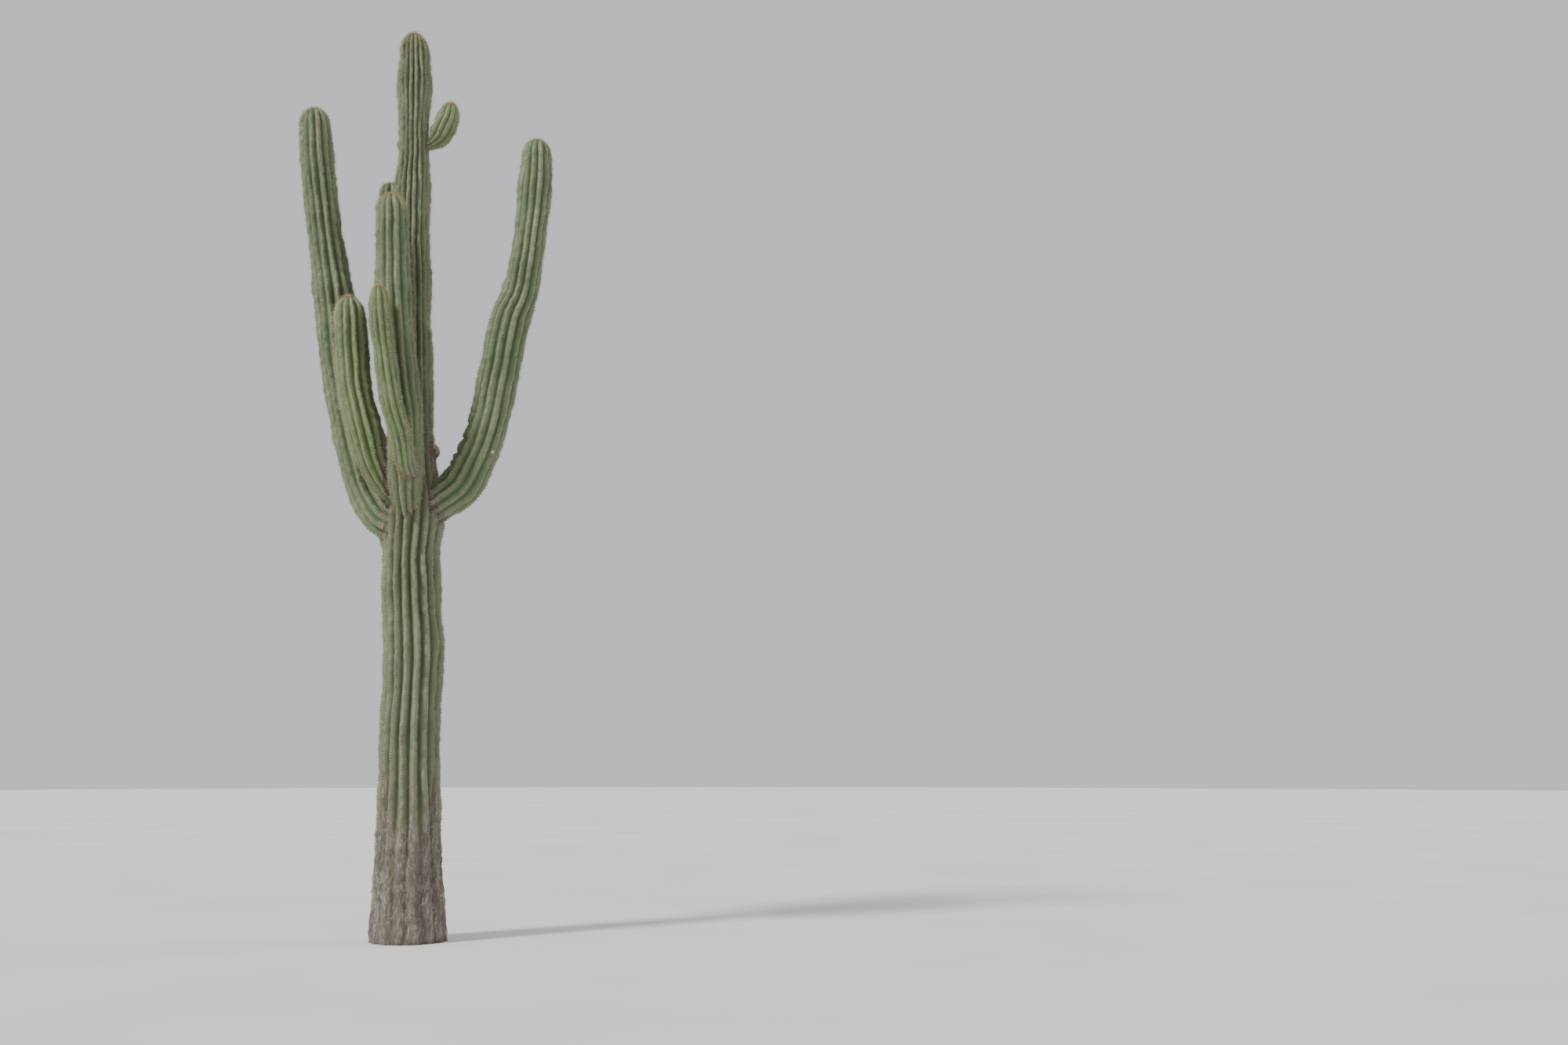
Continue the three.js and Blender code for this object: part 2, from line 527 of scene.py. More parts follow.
    def age(self, graph: ShaderGraph, patch: Signal, mottle: Signal) -> Signal:
        """Finds how old the skin is: it turns to cork in tongues that climb the ribs, crests first.

        Args:
            graph: The material's nodes.
            patch: A coarse noise.
            mottle: A finer noise.

        Returns:
            Its age: skin browns from about 0.2, and has turned to cork from about 0.6.
        """
        tongues = graph.noise(self.tongue_grain)
        ragged = (tongues - MIDDLE) * self.tongue_shift + (patch - MIDDLE) * self.patch_shift
        ragged = ragged + (mottle - MIDDLE) * self.mottle_shift
        return graph.fact("cork") + ragged + graph.fact("ridge") * self.crest_lead

    def masks(self, graph: ShaderGraph) -> SkinMasks:
        """Draws everything that the skin's look is mixed from.

        Args:
            graph: The material's nodes.

        Returns:
            The masks.
        """
        ridge = graph.fact("ridge")
        patch, mottle = graph.noise(self.patch_grain), graph.noise(self.mottle_grain)
        crest = self.crests.above(ridge)
        turn = (graph.fact("arc") / AREOLE_PITCH - graph.fact("stagger")) * TURN
        beat = graph.math("COSINE", turn) / 2 + 1 / 2
        level, central = self.pads
        scars = self.scabs.above(graph.noise(self.scar_grain) + self.scar_spread * self.scarring)
        age = self.age(graph, patch, mottle)
        plates = self.cracks(graph, *self.coarse_cracks) * self.cracks(graph, *self.fine_cracks)
        flakes = self.cracks(graph, *self.flaking)
        return SkinMasks(
            ridge=ridge,
            patch=patch,
            mottle=mottle,
            speck=graph.noise(self.speck_grain),
            wrinkle=graph.noise(self.wrinkle_grain),
            streak=graph.noise(self.streak_grain),
            crest=crest,
            beat=beat,
            areole=level.above(beat) * central.above(ridge),
            scars=scars,
            browned=self.browning.above(age),
            cork=self.corking.above(age),
            # Painted shade: the bark's furrows are taken out of the plates, so the bark's colour darkens them
            plates=plates * (1 - graph.fact("furrow") * self.furrow_cover),
            flakes=flakes,
            knob=beat * crest,
            scab=flakes * scars)

    def living_colour(self, graph: ShaderGraph, masks: SkinMasks) -> Signal:
        """Mixes the colour of living skin, with painted shade in the valleys between the ribs.

        Args:
            graph: The material's nodes.
            masks: Its masks.

        Returns:
            The colour.
        """
        colour = graph.blend(self.patches.above(masks.patch), self.flesh, self.bloom)
        colour = graph.blend(self.mottling.above(masks.mottle), colour, self.shade)
        colour = graph.blend(self.streaking.above(masks.streak), colour, self.bloom)
        # Painted shade: the valleys between the ribs are darkened
        colour = graph.blend(self.valleys.below(masks.ridge), colour, self.shade)
        cover = masks.mottle * self.mottle_cover + self.least_cover
        colour = graph.blend(masks.crest * (masks.beat * self.beat_cover + cover), colour, self.crest)
        colour = graph.blend(self.specking.above(masks.speck), colour, self.crest)
        scarred = graph.blend(masks.speck, self.scar, self.cork)
        colour = graph.blend(masks.scars * self.scar_cover, colour, scarred)
        return graph.blend(masks.browned * cover, colour, self.scar)

    def bark_colour(self, graph: ShaderGraph, masks: SkinMasks) -> Signal:
        """Mixes the colour of bark, with painted shade along the edges of its flakes, in its cracks and in
        its furrows.

        Args:
            graph: The material's nodes.
            masks: Its masks.

        Returns:
            The colour.
        """
        colour = graph.blend(self.weathering.above(graph.noise(self.bark_grain)), self.cork, self.pale_cork)
        # Painted shade along the edges of the flakes
        colour = graph.blend((1 - masks.flakes) * self.flake_cover, colour, self.scar)
        # Painted shade in the cracks and furrows of the bark
        return graph.blend((1 - masks.plates) * self.crack_cover, colour, self.crack)

    def callused(self, graph: ShaderGraph, colour: Signal) -> Signal:
        """Lays the single healed wounds over a colour: each a ragged pale spot in a brown rim.

        Args:
            graph: The material's nodes.
            colour: The colour without them.

        Returns:
            The colour with them.
        """
        rim = Layer(self.mark_size, self.rim_share * self.mark_size)
        middle = Layer(self.middle_share * self.mark_size, self.mark_size)
        ragged = graph.noise(self.mark_grain) * self.raggedness + self.least_ragged
        for mark in self.marks:
            gap = graph.distance(graph.place, mark) * ragged
            colour = graph.blend(rim.below(gap), colour, self.scar)
            colour = graph.blend(middle.below(gap), colour, self.callus)
        return colour

    def height(self, masks: SkinMasks) -> Signal:
        """Returns how far out the bump stands at each place, against the relief."""
        living, bark = masks.mixed(self.living_relief), masks.mixed(self.bark_relief)
        return living * (1 - masks.cork) + bark * masks.cork

    def material(self) -> bpy.types.Material:
        """Builds the material.

        Returns:
            The material.
        """
        graph = ShaderGraph(self.name)
        masks = self.masks(graph)
        colour = graph.blend(masks.cork, self.living_colour(graph, masks), self.bark_colour(graph, masks))
        colour = graph.blend(masks.areole * (1 - masks.cork), colour, self.felt)
        roughness = masks.mixed(self.roughening) + self.smoothest
        return graph.finish(self.callused(graph, colour), roughness, self.height(masks), self.relief)


@dataclass(frozen=True)
class SpineFinish:
    """Dry spines: plain straw or grey, each a little lighter or darker than the next.

    Attributes:
        name: The material's name.
        pale: The colour of the palest spines.
        dark: The colour of the darkest.
        roughness: How rough they are at least.
        relief: How deep the bump is at most.
    """

    name: str
    pale: Colour
    dark: Colour
    roughness: float = 0.55
    relief: float = 0.0004
    darkening: ClassVar[Layer] = Layer(0.15, 0.95)
    grain: ClassVar[Grain] = Grain(260.0, 2.0)
    grain_tone: ClassVar[float] = 0.4
    grain_roughness: ClassVar[float] = 0.1

    def material(self) -> bpy.types.Material:
        """Builds the material.

        Returns:
            The material.
        """
        graph = ShaderGraph(self.name)
        grain = graph.noise(self.grain)
        tone = graph.fact("tone") + (grain - MIDDLE) * self.grain_tone
        colour = graph.blend(self.darkening.above(tone), self.pale, self.dark)
        return graph.finish(colour, self.roughness + grain * self.grain_roughness, grain, self.relief)


@dataclass(frozen=True)
class FeltFinish:
    """Short matted wool, on areoles and crowns.

    Attributes:
        name: The material's name.
        pale: The colour of clean wool.
        dark: The colour of worn wool.
        roughness: How rough it is.
        relief: How deep the bump is at most.
    """

    name: str
    pale: Colour
    dark: Colour
    roughness: float = 0.95
    relief: float = 0.001
    paling: ClassVar[Layer] = Layer(0.35, 0.65)
    fluff_grain: ClassVar[Grain] = Grain(420.0, 3.0)
    patch_grain: ClassVar[Grain] = Grain(30.0, 3.0)
    fluff_share: ClassVar[float] = 0.6

    def material(self) -> bpy.types.Material:
        """Builds the material.

        Returns:
            The material.
        """
        graph = ShaderGraph(self.name)
        fluff, patch = graph.noise(self.fluff_grain), graph.noise(self.patch_grain)
        clean = fluff * self.fluff_share + patch * (1 - self.fluff_share)
        colour = graph.blend(self.paling.above(clean), self.dark, self.pale)
        return graph.finish(colour, self.roughness, fluff, self.relief)


@dataclass(frozen=True)
class FloorFinish:
    """A plain pale floor with a barely uneven tone.

    Attributes:
        name: The material's name.
        light: Its lighter clouds.
        dim: Its darker ones.
        roughness: How rough it is at least.
        relief: How deep the bump is at most.
    """

    name: str = "pale_floor"
    light: Colour = (0.70, 0.69, 0.67)
    dim: Colour = (0.64, 0.63, 0.61)
    roughness: float = 0.85
    relief: float = 0.0005
    clouding: ClassVar[Layer] = Layer(0.3, 0.7)
    cloud_grain: ClassVar[Grain] = Grain(0.4)
    grain: ClassVar[Grain] = Grain(60.0, 3.0)
    grain_roughness: ClassVar[float] = 0.1

    def material(self) -> bpy.types.Material:
        """Builds the material.

        Returns:
            The material.
        """
        graph = ShaderGraph(self.name)
        cloud, grain = graph.noise(self.cloud_grain), graph.noise(self.grain)
        colour = graph.blend(self.clouding.above(cloud), self.dim, self.light)
        return graph.finish(colour, self.roughness + grain * self.grain_roughness, grain, self.relief)


FRESH_SKIN = SkinFinish("young_skin", flesh=(0.125, 0.185, 0.062), bloom=(0.185, 0.250, 0.105),
                        shade=(0.050, 0.085, 0.028), scarring=0.1)
ARM_SKIN = SkinFinish("arm_skin", flesh=(0.105, 0.155, 0.062), bloom=(0.170, 0.225, 0.110),
                      shade=(0.045, 0.072, 0.028), scarring=0.35)
MARKED_SKIN = replace(ARM_SKIN, name="marked_arm_skin", marks=((0.636, -0.194, 4.248),))
TRUNK_SKIN = SkinFinish("trunk_skin", flesh=(0.118, 0.155, 0.070), bloom=(0.190, 0.225, 0.125),
                        shade=(0.052, 0.074, 0.034), scarring=0.75)
OLD_SPINES = SpineFinish("old_spines", pale=(0.40, 0.36, 0.31), dark=(0.13, 0.11, 0.09))
STRAW_SPINES = SpineFinish("straw_spines", pale=(0.60, 0.52, 0.38), dark=(0.24, 0.18, 0.11))
CROWN_SPINES = SpineFinish("crown_spines", pale=(0.66, 0.52, 0.27), dark=(0.30, 0.18, 0.07))
AREOLE_FELT = FeltFinish("areole_felt", pale=(0.30, 0.25, 0.19), dark=(0.10, 0.08, 0.06))
CROWN_FELT = FeltFinish("crown_felt", pale=(0.58, 0.46, 0.27), dark=(0.26, 0.17, 0.08))


class GrowthTree:
    """A geometry node tree with named inputs, which grows a carrier mesh into a finished one."""

    name = "growth"
    inputs: ClassVar[dict[str, tuple[str, object]]] = {}

    def __init__(self) -> None:
        """Builds the tree and its inputs."""
        self.group = bpy.data.node_groups.new(self.name, "GeometryNodeTree")
        self.graph = Graph(self.group)
        self.keys: dict[str, str] = {}
        self._socket("Geometry", "INPUT", "NodeSocketGeometry", None)
        for label, (kind, value) in self.inputs.items():
            self._socket(label, "INPUT", kind, value)
        self._socket("Material", "INPUT", "NodeSocketMaterial", None)
        self._socket("Geometry", "OUTPUT", "NodeSocketGeometry", None)
        self.entry = self.graph.node("NodeGroupInput")
        self.graph.place = self.graph.out(self.graph.node("GeometryNodeInputPosition"))
        self._finish(self.grow())

    def _socket(self, label: str, way: str, kind: str, value: object) -> None:
        """Adds one input or output to the tree and keeps its identifier.

        Args:
            label: Its name.
            way: INPUT or OUTPUT.
            kind: The socket's type.
            value: What it starts at, or None.
        """
        socket = self.group.interface.new_socket(name=label, in_out=way, socket_type=kind)
        if value is not None:
            socket.default_value = value
        if way == "INPUT":
            self.keys[label] = socket.identifier

    def given(self, label: str) -> Signal:
        """Returns one of the tree's named inputs."""
        return self.graph.out(self.entry, label)

    def fact(self, name: str, kind: str = "FLOAT") -> Signal:
        """Returns what the carrier stores under a name at each point."""
        node = self.graph.node("GeometryNodeInputNamedAttribute", {"data_type": kind}, {"Name": name})
        return self.graph.out(node, "Attribute")

    def chance(self, low: float, high: float, draw: Draw) -> Signal:
        """Returns a random number for each element.

        Args:
            low: The least it may be.
            high: The most it may be.
            draw: What it decides.

        Returns:
            The number.
        """
        node = self.graph.node("FunctionNodeRandomValue", {"data_type": "FLOAT"})
        live = {socket.name: socket for socket in (*node.inputs, *node.outputs) if socket.enabled}
        for label, value in {"Min": low, "Max": high, "Seed": self.given("Seed") + draw.value}.items():
            self.graph.feed(live[label], value)
        return Signal(self.graph, live["Value"])

    def grow(self) -> Signal:
        """Builds what lies between the tree's input and its last nodes, and returns the geometry."""
        return self.given("Geometry")

    def _finish(self, geometry: Signal) -> None:
        """Ends the tree: instances are made real and the material is set.

        Args:
            geometry: What the tree has grown.
        """
        graph = self.graph
        real = graph.out(graph.node("GeometryNodeRealizeInstances", {}, {"Geometry": geometry}))
        sockets = {"Geometry": real, "Material": self.given("Material")}
        dressed = graph.out(graph.node("GeometryNodeSetMaterial", {}, sockets))
        graph.node("NodeGroupOutput", {}, {"Geometry": dressed})

    def apply(self, carrier: bpy.types.Object, name: str, finish: bpy.types.Material,
              **sizes: float) -> bpy.types.Object:
        """Grows a carrier into a plain mesh.

        Args:
            carrier: The mesh that holds the facts, which is used up.
            name: The finished piece's name.
            finish: Its material.
            sizes: Values for the named inputs, with _ for a space.

        Returns:
            The finished piece.
        """
        modifier = carrier.modifiers.new("growth", "NODES")
        modifier.node_group = self.group
        modifier[self.keys["Material"]] = finish
        for label, value in sizes.items():
            modifier[self.keys[label.replace("_", " ").title()]] = value
        layers = bpy.context.evaluated_depsgraph_get()
        mesh = bpy.data.meshes.new_from_object(
            carrier.evaluated_get(layers), preserve_all_data_layers=True, depsgraph=layers)
        carrier.modifiers.remove(modifier)
        bpy.data.objects.remove(carrier)
        mesh.name = name
        return link(bpy.data.objects.new(name, mesh))


class PleatTree(GrowthTree):
    """Sinks the valleys between the ribs of a smooth limb, and the furrows of its bark between the crests.

    Attributes:
        furrow_grain: How fine they are.
        furrow_width: How wide they are, as a share of the gap between two.
        barked: From what corkiness on the skin is furrowed.
        cresting: Close to a crest it isn't.
    """

    name = "pleats"
    inputs = {
        "Crest Power": ("NodeSocketFloat", 1.1),
        "Furrow Depth": ("NodeSocketFloat", 0.011),
    }
    furrow_grain: Grain = Grain((19.0, 19.0, 2.6), 3.0)
    furrow_width: float = 0.075
    barked: Layer = Layer(0.50, 0.72)
    cresting: Layer = Layer(0.80, 0.98)

    def grow(self) -> Signal:
        """Moves each point inwards by its valley's depth, less the closer it is to a crest.

        Returns:
            The pleated mesh, which keeps how far down a furrow each point is.
        """
        graph = self.graph
        aside = graph.math("ABSOLUTE", graph.noise(self.furrow_grain) - MIDDLE)
        furrow = Layer(0.0, self.furrow_width).below(aside) * self.barked.above(self.fact("cork"))
        marked = graph.node("GeometryNodeStoreNamedAttribute", {"data_type": "FLOAT", "domain": "POINT"}, {
            "Geometry": self.given("Geometry"), "Name": "furrow",
            "Value": furrow * self.cresting.below(self.fact("ridge"))})
        rise = self.fact("ridge") ** self.given("Crest Power")
        depth = self.fact("valley") * (1 - rise) + self.fact("furrow") * self.given("Furrow Depth")
        offset = graph.scaled(self.fact("out", "FLOAT_VECTOR"), 0 - depth)
        moved = graph.node("GeometryNodeSetPosition", {}, {"Geometry": graph.out(marked), "Offset": offset})
        return graph.out(graph.node("GeometryNodeSetShadeSmooth", {}, {"Geometry": graph.out(moved)}))


class BristleTree(GrowthTree):
    """Grows a fan of spines at every point: a few long central ones, and radial ones flat round them.

    Attributes:
        sink: How far a spine's foot is sunk in the skin.
        golden_angle: How far each spine is turned from the last.
        spin_spread: How far that varies.
        radial_tilt: How far the radial spines lean from straight out.
        central_tilt: The same for central spines, as a share of their spread.
        droop: How far central spines hang.
        length_spread: How much shorter or longer a spine is than its kind.
        radial_width: How thick a radial spine is, as a share of the thickness.
        central_extra: How much thicker a central one is.
    """

    name = "bristles"
    inputs = {
        "Count": ("NodeSocketInt", 15),
        "Central Count": ("NodeSocketInt", 4),
        "Central Length": ("NodeSocketFloat", 0.030),
        "Radial Length": ("NodeSocketFloat", 0.021),
        "Thickness": ("NodeSocketFloat", 0.0011),
        "Central Spread": ("NodeSocketFloat", 0.75),
        "Seed": ("NodeSocketInt", 1),
    }
    sink: float = 0.0025
    golden_angle: float = 2.399963
    spin_spread: float = 1.6
    radial_tilt: tuple[float, float] = (0.95, 1.42)
    central_tilt: tuple[float, float] = (0.1, 1.0)
    droop: float = 0.18
    length_spread: tuple[float, float] = (0.70, 1.15)
    radial_width: float = 0.75
    central_extra: float = 0.35

    def aim(self, order: Signal, central: Signal) -> Signal:
        """Points every spine of a fan its own way.

        Args:
            order: The number of each spine in its fan.
            central: 1 for a central spine, 0 for a radial one.

        Returns:
            The way that each points.
        """
        graph = self.graph
        facing, up = self.fact("facing", "FLOAT_VECTOR"), self.fact("up", "FLOAT_VECTOR")
        spin = order * self.golden_angle + self.chance(0.0, self.spin_spread, Draw.SPIN)
        lean = self.chance(*self.radial_tilt, Draw.RADIAL_TILT)
        upright = self.chance(*self.central_tilt, Draw.CENTRAL_TILT) * self.given("Central Spread")
        tilt = lean + (upright - lean) * central
        side = graph.vector("CROSS_PRODUCT", facing, up)
        round_about = graph.vector("ADD", graph.scaled(up, graph.math("COSINE", spin)),
                                   graph.scaled(side, graph.math("SINE", spin)))
        aim = graph.vector("ADD", graph.scaled(facing, graph.math("COSINE", tilt)),
                           graph.scaled(round_about, graph.math("SINE", tilt)))
        return graph.vector("SUBTRACT", aim, graph.scaled(up, central * self.droop))

    def grow(self) -> Signal:
        """Repeats every point once for each spine, and stands a three-sided spike on it.

        Returns:
            The spines.
        """
        graph = self.graph
        points = graph.out(graph.node("GeometryNodeMeshToPoints", {}, {"Mesh": self.given("Geometry")}))
        copies = graph.node("GeometryNodeDuplicateElements", {"domain": "POINT"},
                            {"Geometry": points, "Amount": self.given("Count")})
        order = graph.out(copies, "Duplicate Index")
        central = graph.math("LESS_THAN", order, self.given("Central Count"))
        plain, extra = self.given("Radial Length"), self.given("Central Length")
        usual = (plain + (extra - plain) * central) * self.fact("vigour")
        length = usual * self.chance(*self.length_spread, Draw.LENGTH)
        width = self.given("Thickness") * (self.radial_width + central * self.central_extra)
        seated = graph.node("GeometryNodeSetPosition", {}, {
            "Geometry": graph.out(copies, "Geometry"),
            "Offset": graph.scaled(self.fact("facing", "FLOAT_VECTOR"), -self.sink)})
        turned = graph.node("FunctionNodeAlignRotationToVector", {"axis": "Z"}, {
            "Vector": self.aim(order, central)})
        spike = graph.node("GeometryNodeMeshCone", {"fill_type": "NGON"}, {
            "Vertices": 3, "Side Segments": 1, "Fill Segments": 1, "Radius Top": 0.0, "Radius Bottom": 1.0,
            "Depth": 1.0})
        size = graph.node("ShaderNodeCombineXYZ", {}, {"X": width, "Y": width, "Z": length})
        sown = graph.node("GeometryNodeInstanceOnPoints", {}, {
            "Points": graph.out(seated), "Instance": graph.out(spike, "Mesh"),
            "Rotation": graph.out(turned), "Scale": graph.out(size)})
        toned = graph.node("GeometryNodeStoreNamedAttribute", {"data_type": "FLOAT", "domain": "INSTANCE"}, {
            "Geometry": graph.out(sown), "Name": "tone", "Value": self.chance(0.0, 1.0, Draw.TONE)})
        return graph.out(toned)


class PadTree(GrowthTree):
    """Lays a small cushion of felt on every point.

    Attributes:
        size_spread: How much smaller or larger a cushion is than the others.
    """

    name = "pads"
    inputs = {
        "Length": ("NodeSocketFloat", 0.0062),
        "Width": ("NodeSocketFloat", 0.0048),
        "Height": ("NodeSocketFloat", 0.0036),
        "Seed": ("NodeSocketInt", 1),
    }
    size_spread: tuple[float, float] = (0.8, 1.2)

    def grow(self) -> Signal:
        """Stands a low eight-sided lump on each point, turned to face out and along the rib.

        Returns:
            The cushions.
        """
        graph = self.graph
        points = graph.out(graph.node("GeometryNodeMeshToPoints", {}, {"Mesh": self.given("Geometry")}))
        lump = graph.node("GeometryNodeMeshUVSphere", {}, {"Segments": 4, "Rings": 2, "Radius": 1.0})
        outward = graph.node("FunctionNodeAlignRotationToVector", {"axis": "Z"},
                             {"Vector": self.fact("facing", "FLOAT_VECTOR")})
        lengthwise = graph.node("FunctionNodeAlignRotationToVector", {"axis": "X", "pivot_axis": "Z"},
                                {"Rotation": graph.out(outward), "Vector": self.fact("up", "FLOAT_VECTOR")})
        grown = self.chance(*self.size_spread, Draw.PAD_SIZE)
        size = graph.node("ShaderNodeCombineXYZ", {}, {
            "X": self.given("Length") * grown, "Y": self.given("Width") * grown, "Z": self.given("Height")})
        sown = graph.node("GeometryNodeInstanceOnPoints", {}, {
            "Points": points, "Instance": graph.out(lump, "Mesh"),
            "Rotation": graph.out(lengthwise), "Scale": graph.out(size)})
        return graph.out(graph.node("GeometryNodeSetShadeSmooth", {}, {"Geometry": graph.out(sown)}))


class Workshop:
    """What every limb is made with: the growth trees, and one material for each finish."""

    def __init__(self) -> None:
        """Builds the trees."""
        self.pleats, self.bristles, self.pads = PleatTree(), BristleTree(), PadTree()
        self.materials: dict[str, bpy.types.Material] = {}

    def material(self, finish: SkinFinish | SpineFinish | FeltFinish) -> bpy.types.Material:
        """Gives a finish's material, which is built when it is first asked for.

        Args:
            finish: The finish.

        Returns:
            Its material.
        """
        if finish.name not in self.materials:
            self.materials[finish.name] = finish.material()
        return self.materials[finish.name]


@dataclass(frozen=True)
class Piece:
    """A finished mesh, with the record's slot that it belongs to and the solids that it stands for."""

    mesh: bpy.types.Object
    slot: Slot
    nodes: tuple[str, ...] = ()

    @property
    def triangles(self) -> int:
        """How many triangles it has."""
        return sum(len(face.vertices) - 2 for face in self.mesh.data.polygons)

    def declare(self) -> None:
        """Rides it on its body, and hides the solids that it stands for."""
        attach(self.mesh, BODY)
        if self.nodes:
            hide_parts(*self.nodes)


def link(piece: bpy.types.Object) -> bpy.types.Object:
    """Puts an object in the scene and returns it."""
    bpy.context.scene.collection.objects.link(piece)
    return piece


def mesh_object(name: str, points: Array, faces: list[tuple[int, ...]],
                facts: dict[str, Array]) -> bpy.types.Object:
    """Makes an object with facts stored at its points.

    Args:
        name: The object's name.
        points: One row for each point.
        faces: Point numbers of each face, seen from outside.
        facts: A number or a vector for each point, by name.

    Returns:
        The object.
    """
    mesh = bpy.data.meshes.new(name)
    mesh.from_pydata(points.tolist(), [], faces)
    for label, values in facts.items():
        kind, slot = ("FLOAT", "value") if values.ndim == 1 else ("FLOAT_VECTOR", "vector")
        layer = mesh.attributes.new(label, kind, "POINT")
        layer.data.foreach_set(slot, np.ascontiguousarray(values, dtype=np.float32).ravel())
    mesh.update()
    return link(bpy.data.objects.new(name, mesh))


def smooth(value: Array) -> Array:
    """Returns a smooth step of values held between 0 and 1."""
    held = np.clip(value, 0.0, 1.0)
    return held * held * (3 - 2 * held)


def unit(vectors: Array) -> Array:
    """Returns vectors of length 1."""
    return vectors / np.linalg.norm(vectors, axis=-1, keepdims=True)


@dataclass
class Sections:
    """What is known of a limb at some distances along it.

    Attributes:
        centre: Where its axis is.
        along: Which way the axis runs, towards the tip.
        across: Square to it, where the first rib is.
        other: Square to both.
        girth: How far out the crests are.
        bend: How sharply the axis bends, and which way.
    """

    centre: Array
    along: Array
    across: Array
    other: Array
    girth: Array
    bend: Array


class Axis:
    """The smooth line through a limb's stations, with the girth along it.

    Attributes:
        samples: How many places each stretch between two stations is worked out at.
    """

    samples: int = 80

    def __init__(self, stations: tuple[Station, ...], hinge: Hinge) -> None:
        """Follows the stations.

        Args:
            stations: x, y, z and crest radius of each, root first.
            hinge: What the limb's bend turns about.
        """
        table = np.array(stations)
        self.hinge = np.array(hinge.value)
        steps = np.linspace(0.0, 1.0, self.samples, endpoint=False)
        last = len(table) - 2
        places = [self._place(table[:, :3], part, steps) for part in range(last + 1)]
        girths = [self._girth(table[:, 3], part, steps) for part in range(last + 1)]
        self.places = np.vstack([*places, table[-1:, :3]])
        self.girths = np.concatenate([*girths, table[-1:, 3]])
        strides = np.linalg.norm(np.diff(self.places, axis=0), axis=1)
        self.marks = np.concatenate([[0.0], np.cumsum(strides)])
        self.length = float(self.marks[-1])
        self.headings = unit(np.gradient(self.places, self.marks, axis=0))
        self.bends = np.gradient(self.headings, self.marks, axis=0)

    @staticmethod
    def _place(places: Array, part: int, steps: Array) -> Array:
        """Follows one stretch of a centripetal Catmull-Rom line.

        Args:
            places: The stations' places.
            part: Which stretch.
            steps: Shares of it, from 0 to 1.

        Returns:
            A place for each step.
        """
        second, third = places[part], places[part + 1]
        first = places[part - 1] if part else 2 * second - third
        fourth = places[part + 2] if part + 2 < len(places) else 2 * third - second
        pairs = ((first, second), (second, third), (third, fourth))
        gaps = [math.sqrt(np.linalg.norm(end - begin)) for begin, end in pairs]
        before, here, after = gaps
        start = (second - first) / before - (third - first) / (before + here) + (third - second) / here
        stop = (third - second) / here - (fourth - second) / (here + after) + (fourth - third) / after
        start, stop = start * here, stop * here
        t = steps[:, None]
        curved = (3 * (third - second) - 2 * start - stop) * t**2
        return second + start * t + curved + (2 * (second - third) + start + stop) * t**3

    @staticmethod
    def _girth(girths: Array, part: int, steps: Array) -> Array:
        """Follows the girth over one stretch, by a uniform Catmull-Rom curve.

        Args:
            girths: The stations' girths.
            part: Which stretch.
            steps: Shares of it, from 0 to 1.

        Returns:
            A girth for each step.
        """
        second, third = girths[part], girths[part + 1]
        start = (third - girths[max(part - 1, 0)]) / 2
        stop = (girths[min(part + 2, len(girths) - 1)] - second) / 2
        curved = (3 * (third - second) - 2 * start - stop) * steps**2
        return second + start * steps + curved + (2 * (second - third) + start + stop) * steps**3

    def _read(self, distance: Array, table: Array) -> Array:
        """Reads rows of a table at some distances."""
        return np.stack([np.interp(distance, self.marks, column) for column in table.T], axis=1)

    def at(self, distance: Array) -> Sections:
        """Reads the axis at some distances.

        Args:
            distance: Metres from the root.

        Returns:
            The sections there.
        """
        centre = self._read(distance, self.places)
        along = unit(self._read(distance, self.headings))
        along[centre[:, 2] <= 0.0] = (0.0, 0.0, 1.0)
        across = unit(self.hinge - along * (along @ self.hinge)[:, None])
        girth = np.interp(distance, self.marks, self.girths)
        bend = self._read(distance, self.bends)
        return Sections(centre, along, across, np.cross(along, across), girth, bend)


@dataclass(frozen=True)
class Swelling:
    """A local bulge of a limb, or a dent if its height is negative, round a place on the skin."""

    place: Place
    reach: float
    height: float


@dataclass
class Traced:
    """Places on a limb's skin, before its valleys are sunk, and what is known there.

    Attributes:
        place: Where each is.
        out: Which way is straight out from the axis.
        facing: Which way the skin faces.
        up: Which way the rib runs, towards the tip.
        ridge: How close to a crest it is, from 0 to 1.
        valley: How deep a valley is there.
        arc: How far it is from the root along the skin.
        rolled: How high the skin's rolls are there.
    """

    place: Array
    out: Array
    facing: Array
    up: Array
    ridge: Array
    valley: Array
    arc: Array
    rolled: Array

    def chosen(self, which: Array) -> "Traced":
        """Returns some of the places alone."""
        return Traced(*(getattr(self, part.name)[which] for part in fields(self)))

    def sown(self, name: str, vigour: Array) -> bpy.types.Object:
        """Makes a carrier of loose points for spines, pads or felt.

        Args:
            name: The carrier's name.
            vigour: How long the spines of each are, against the usual.

        Returns:
            The carrier.
        """
        facts = {"facing": self.facing, "up": self.up, "vigour": vigour}
        return mesh_object(name, self.place, [], facts)


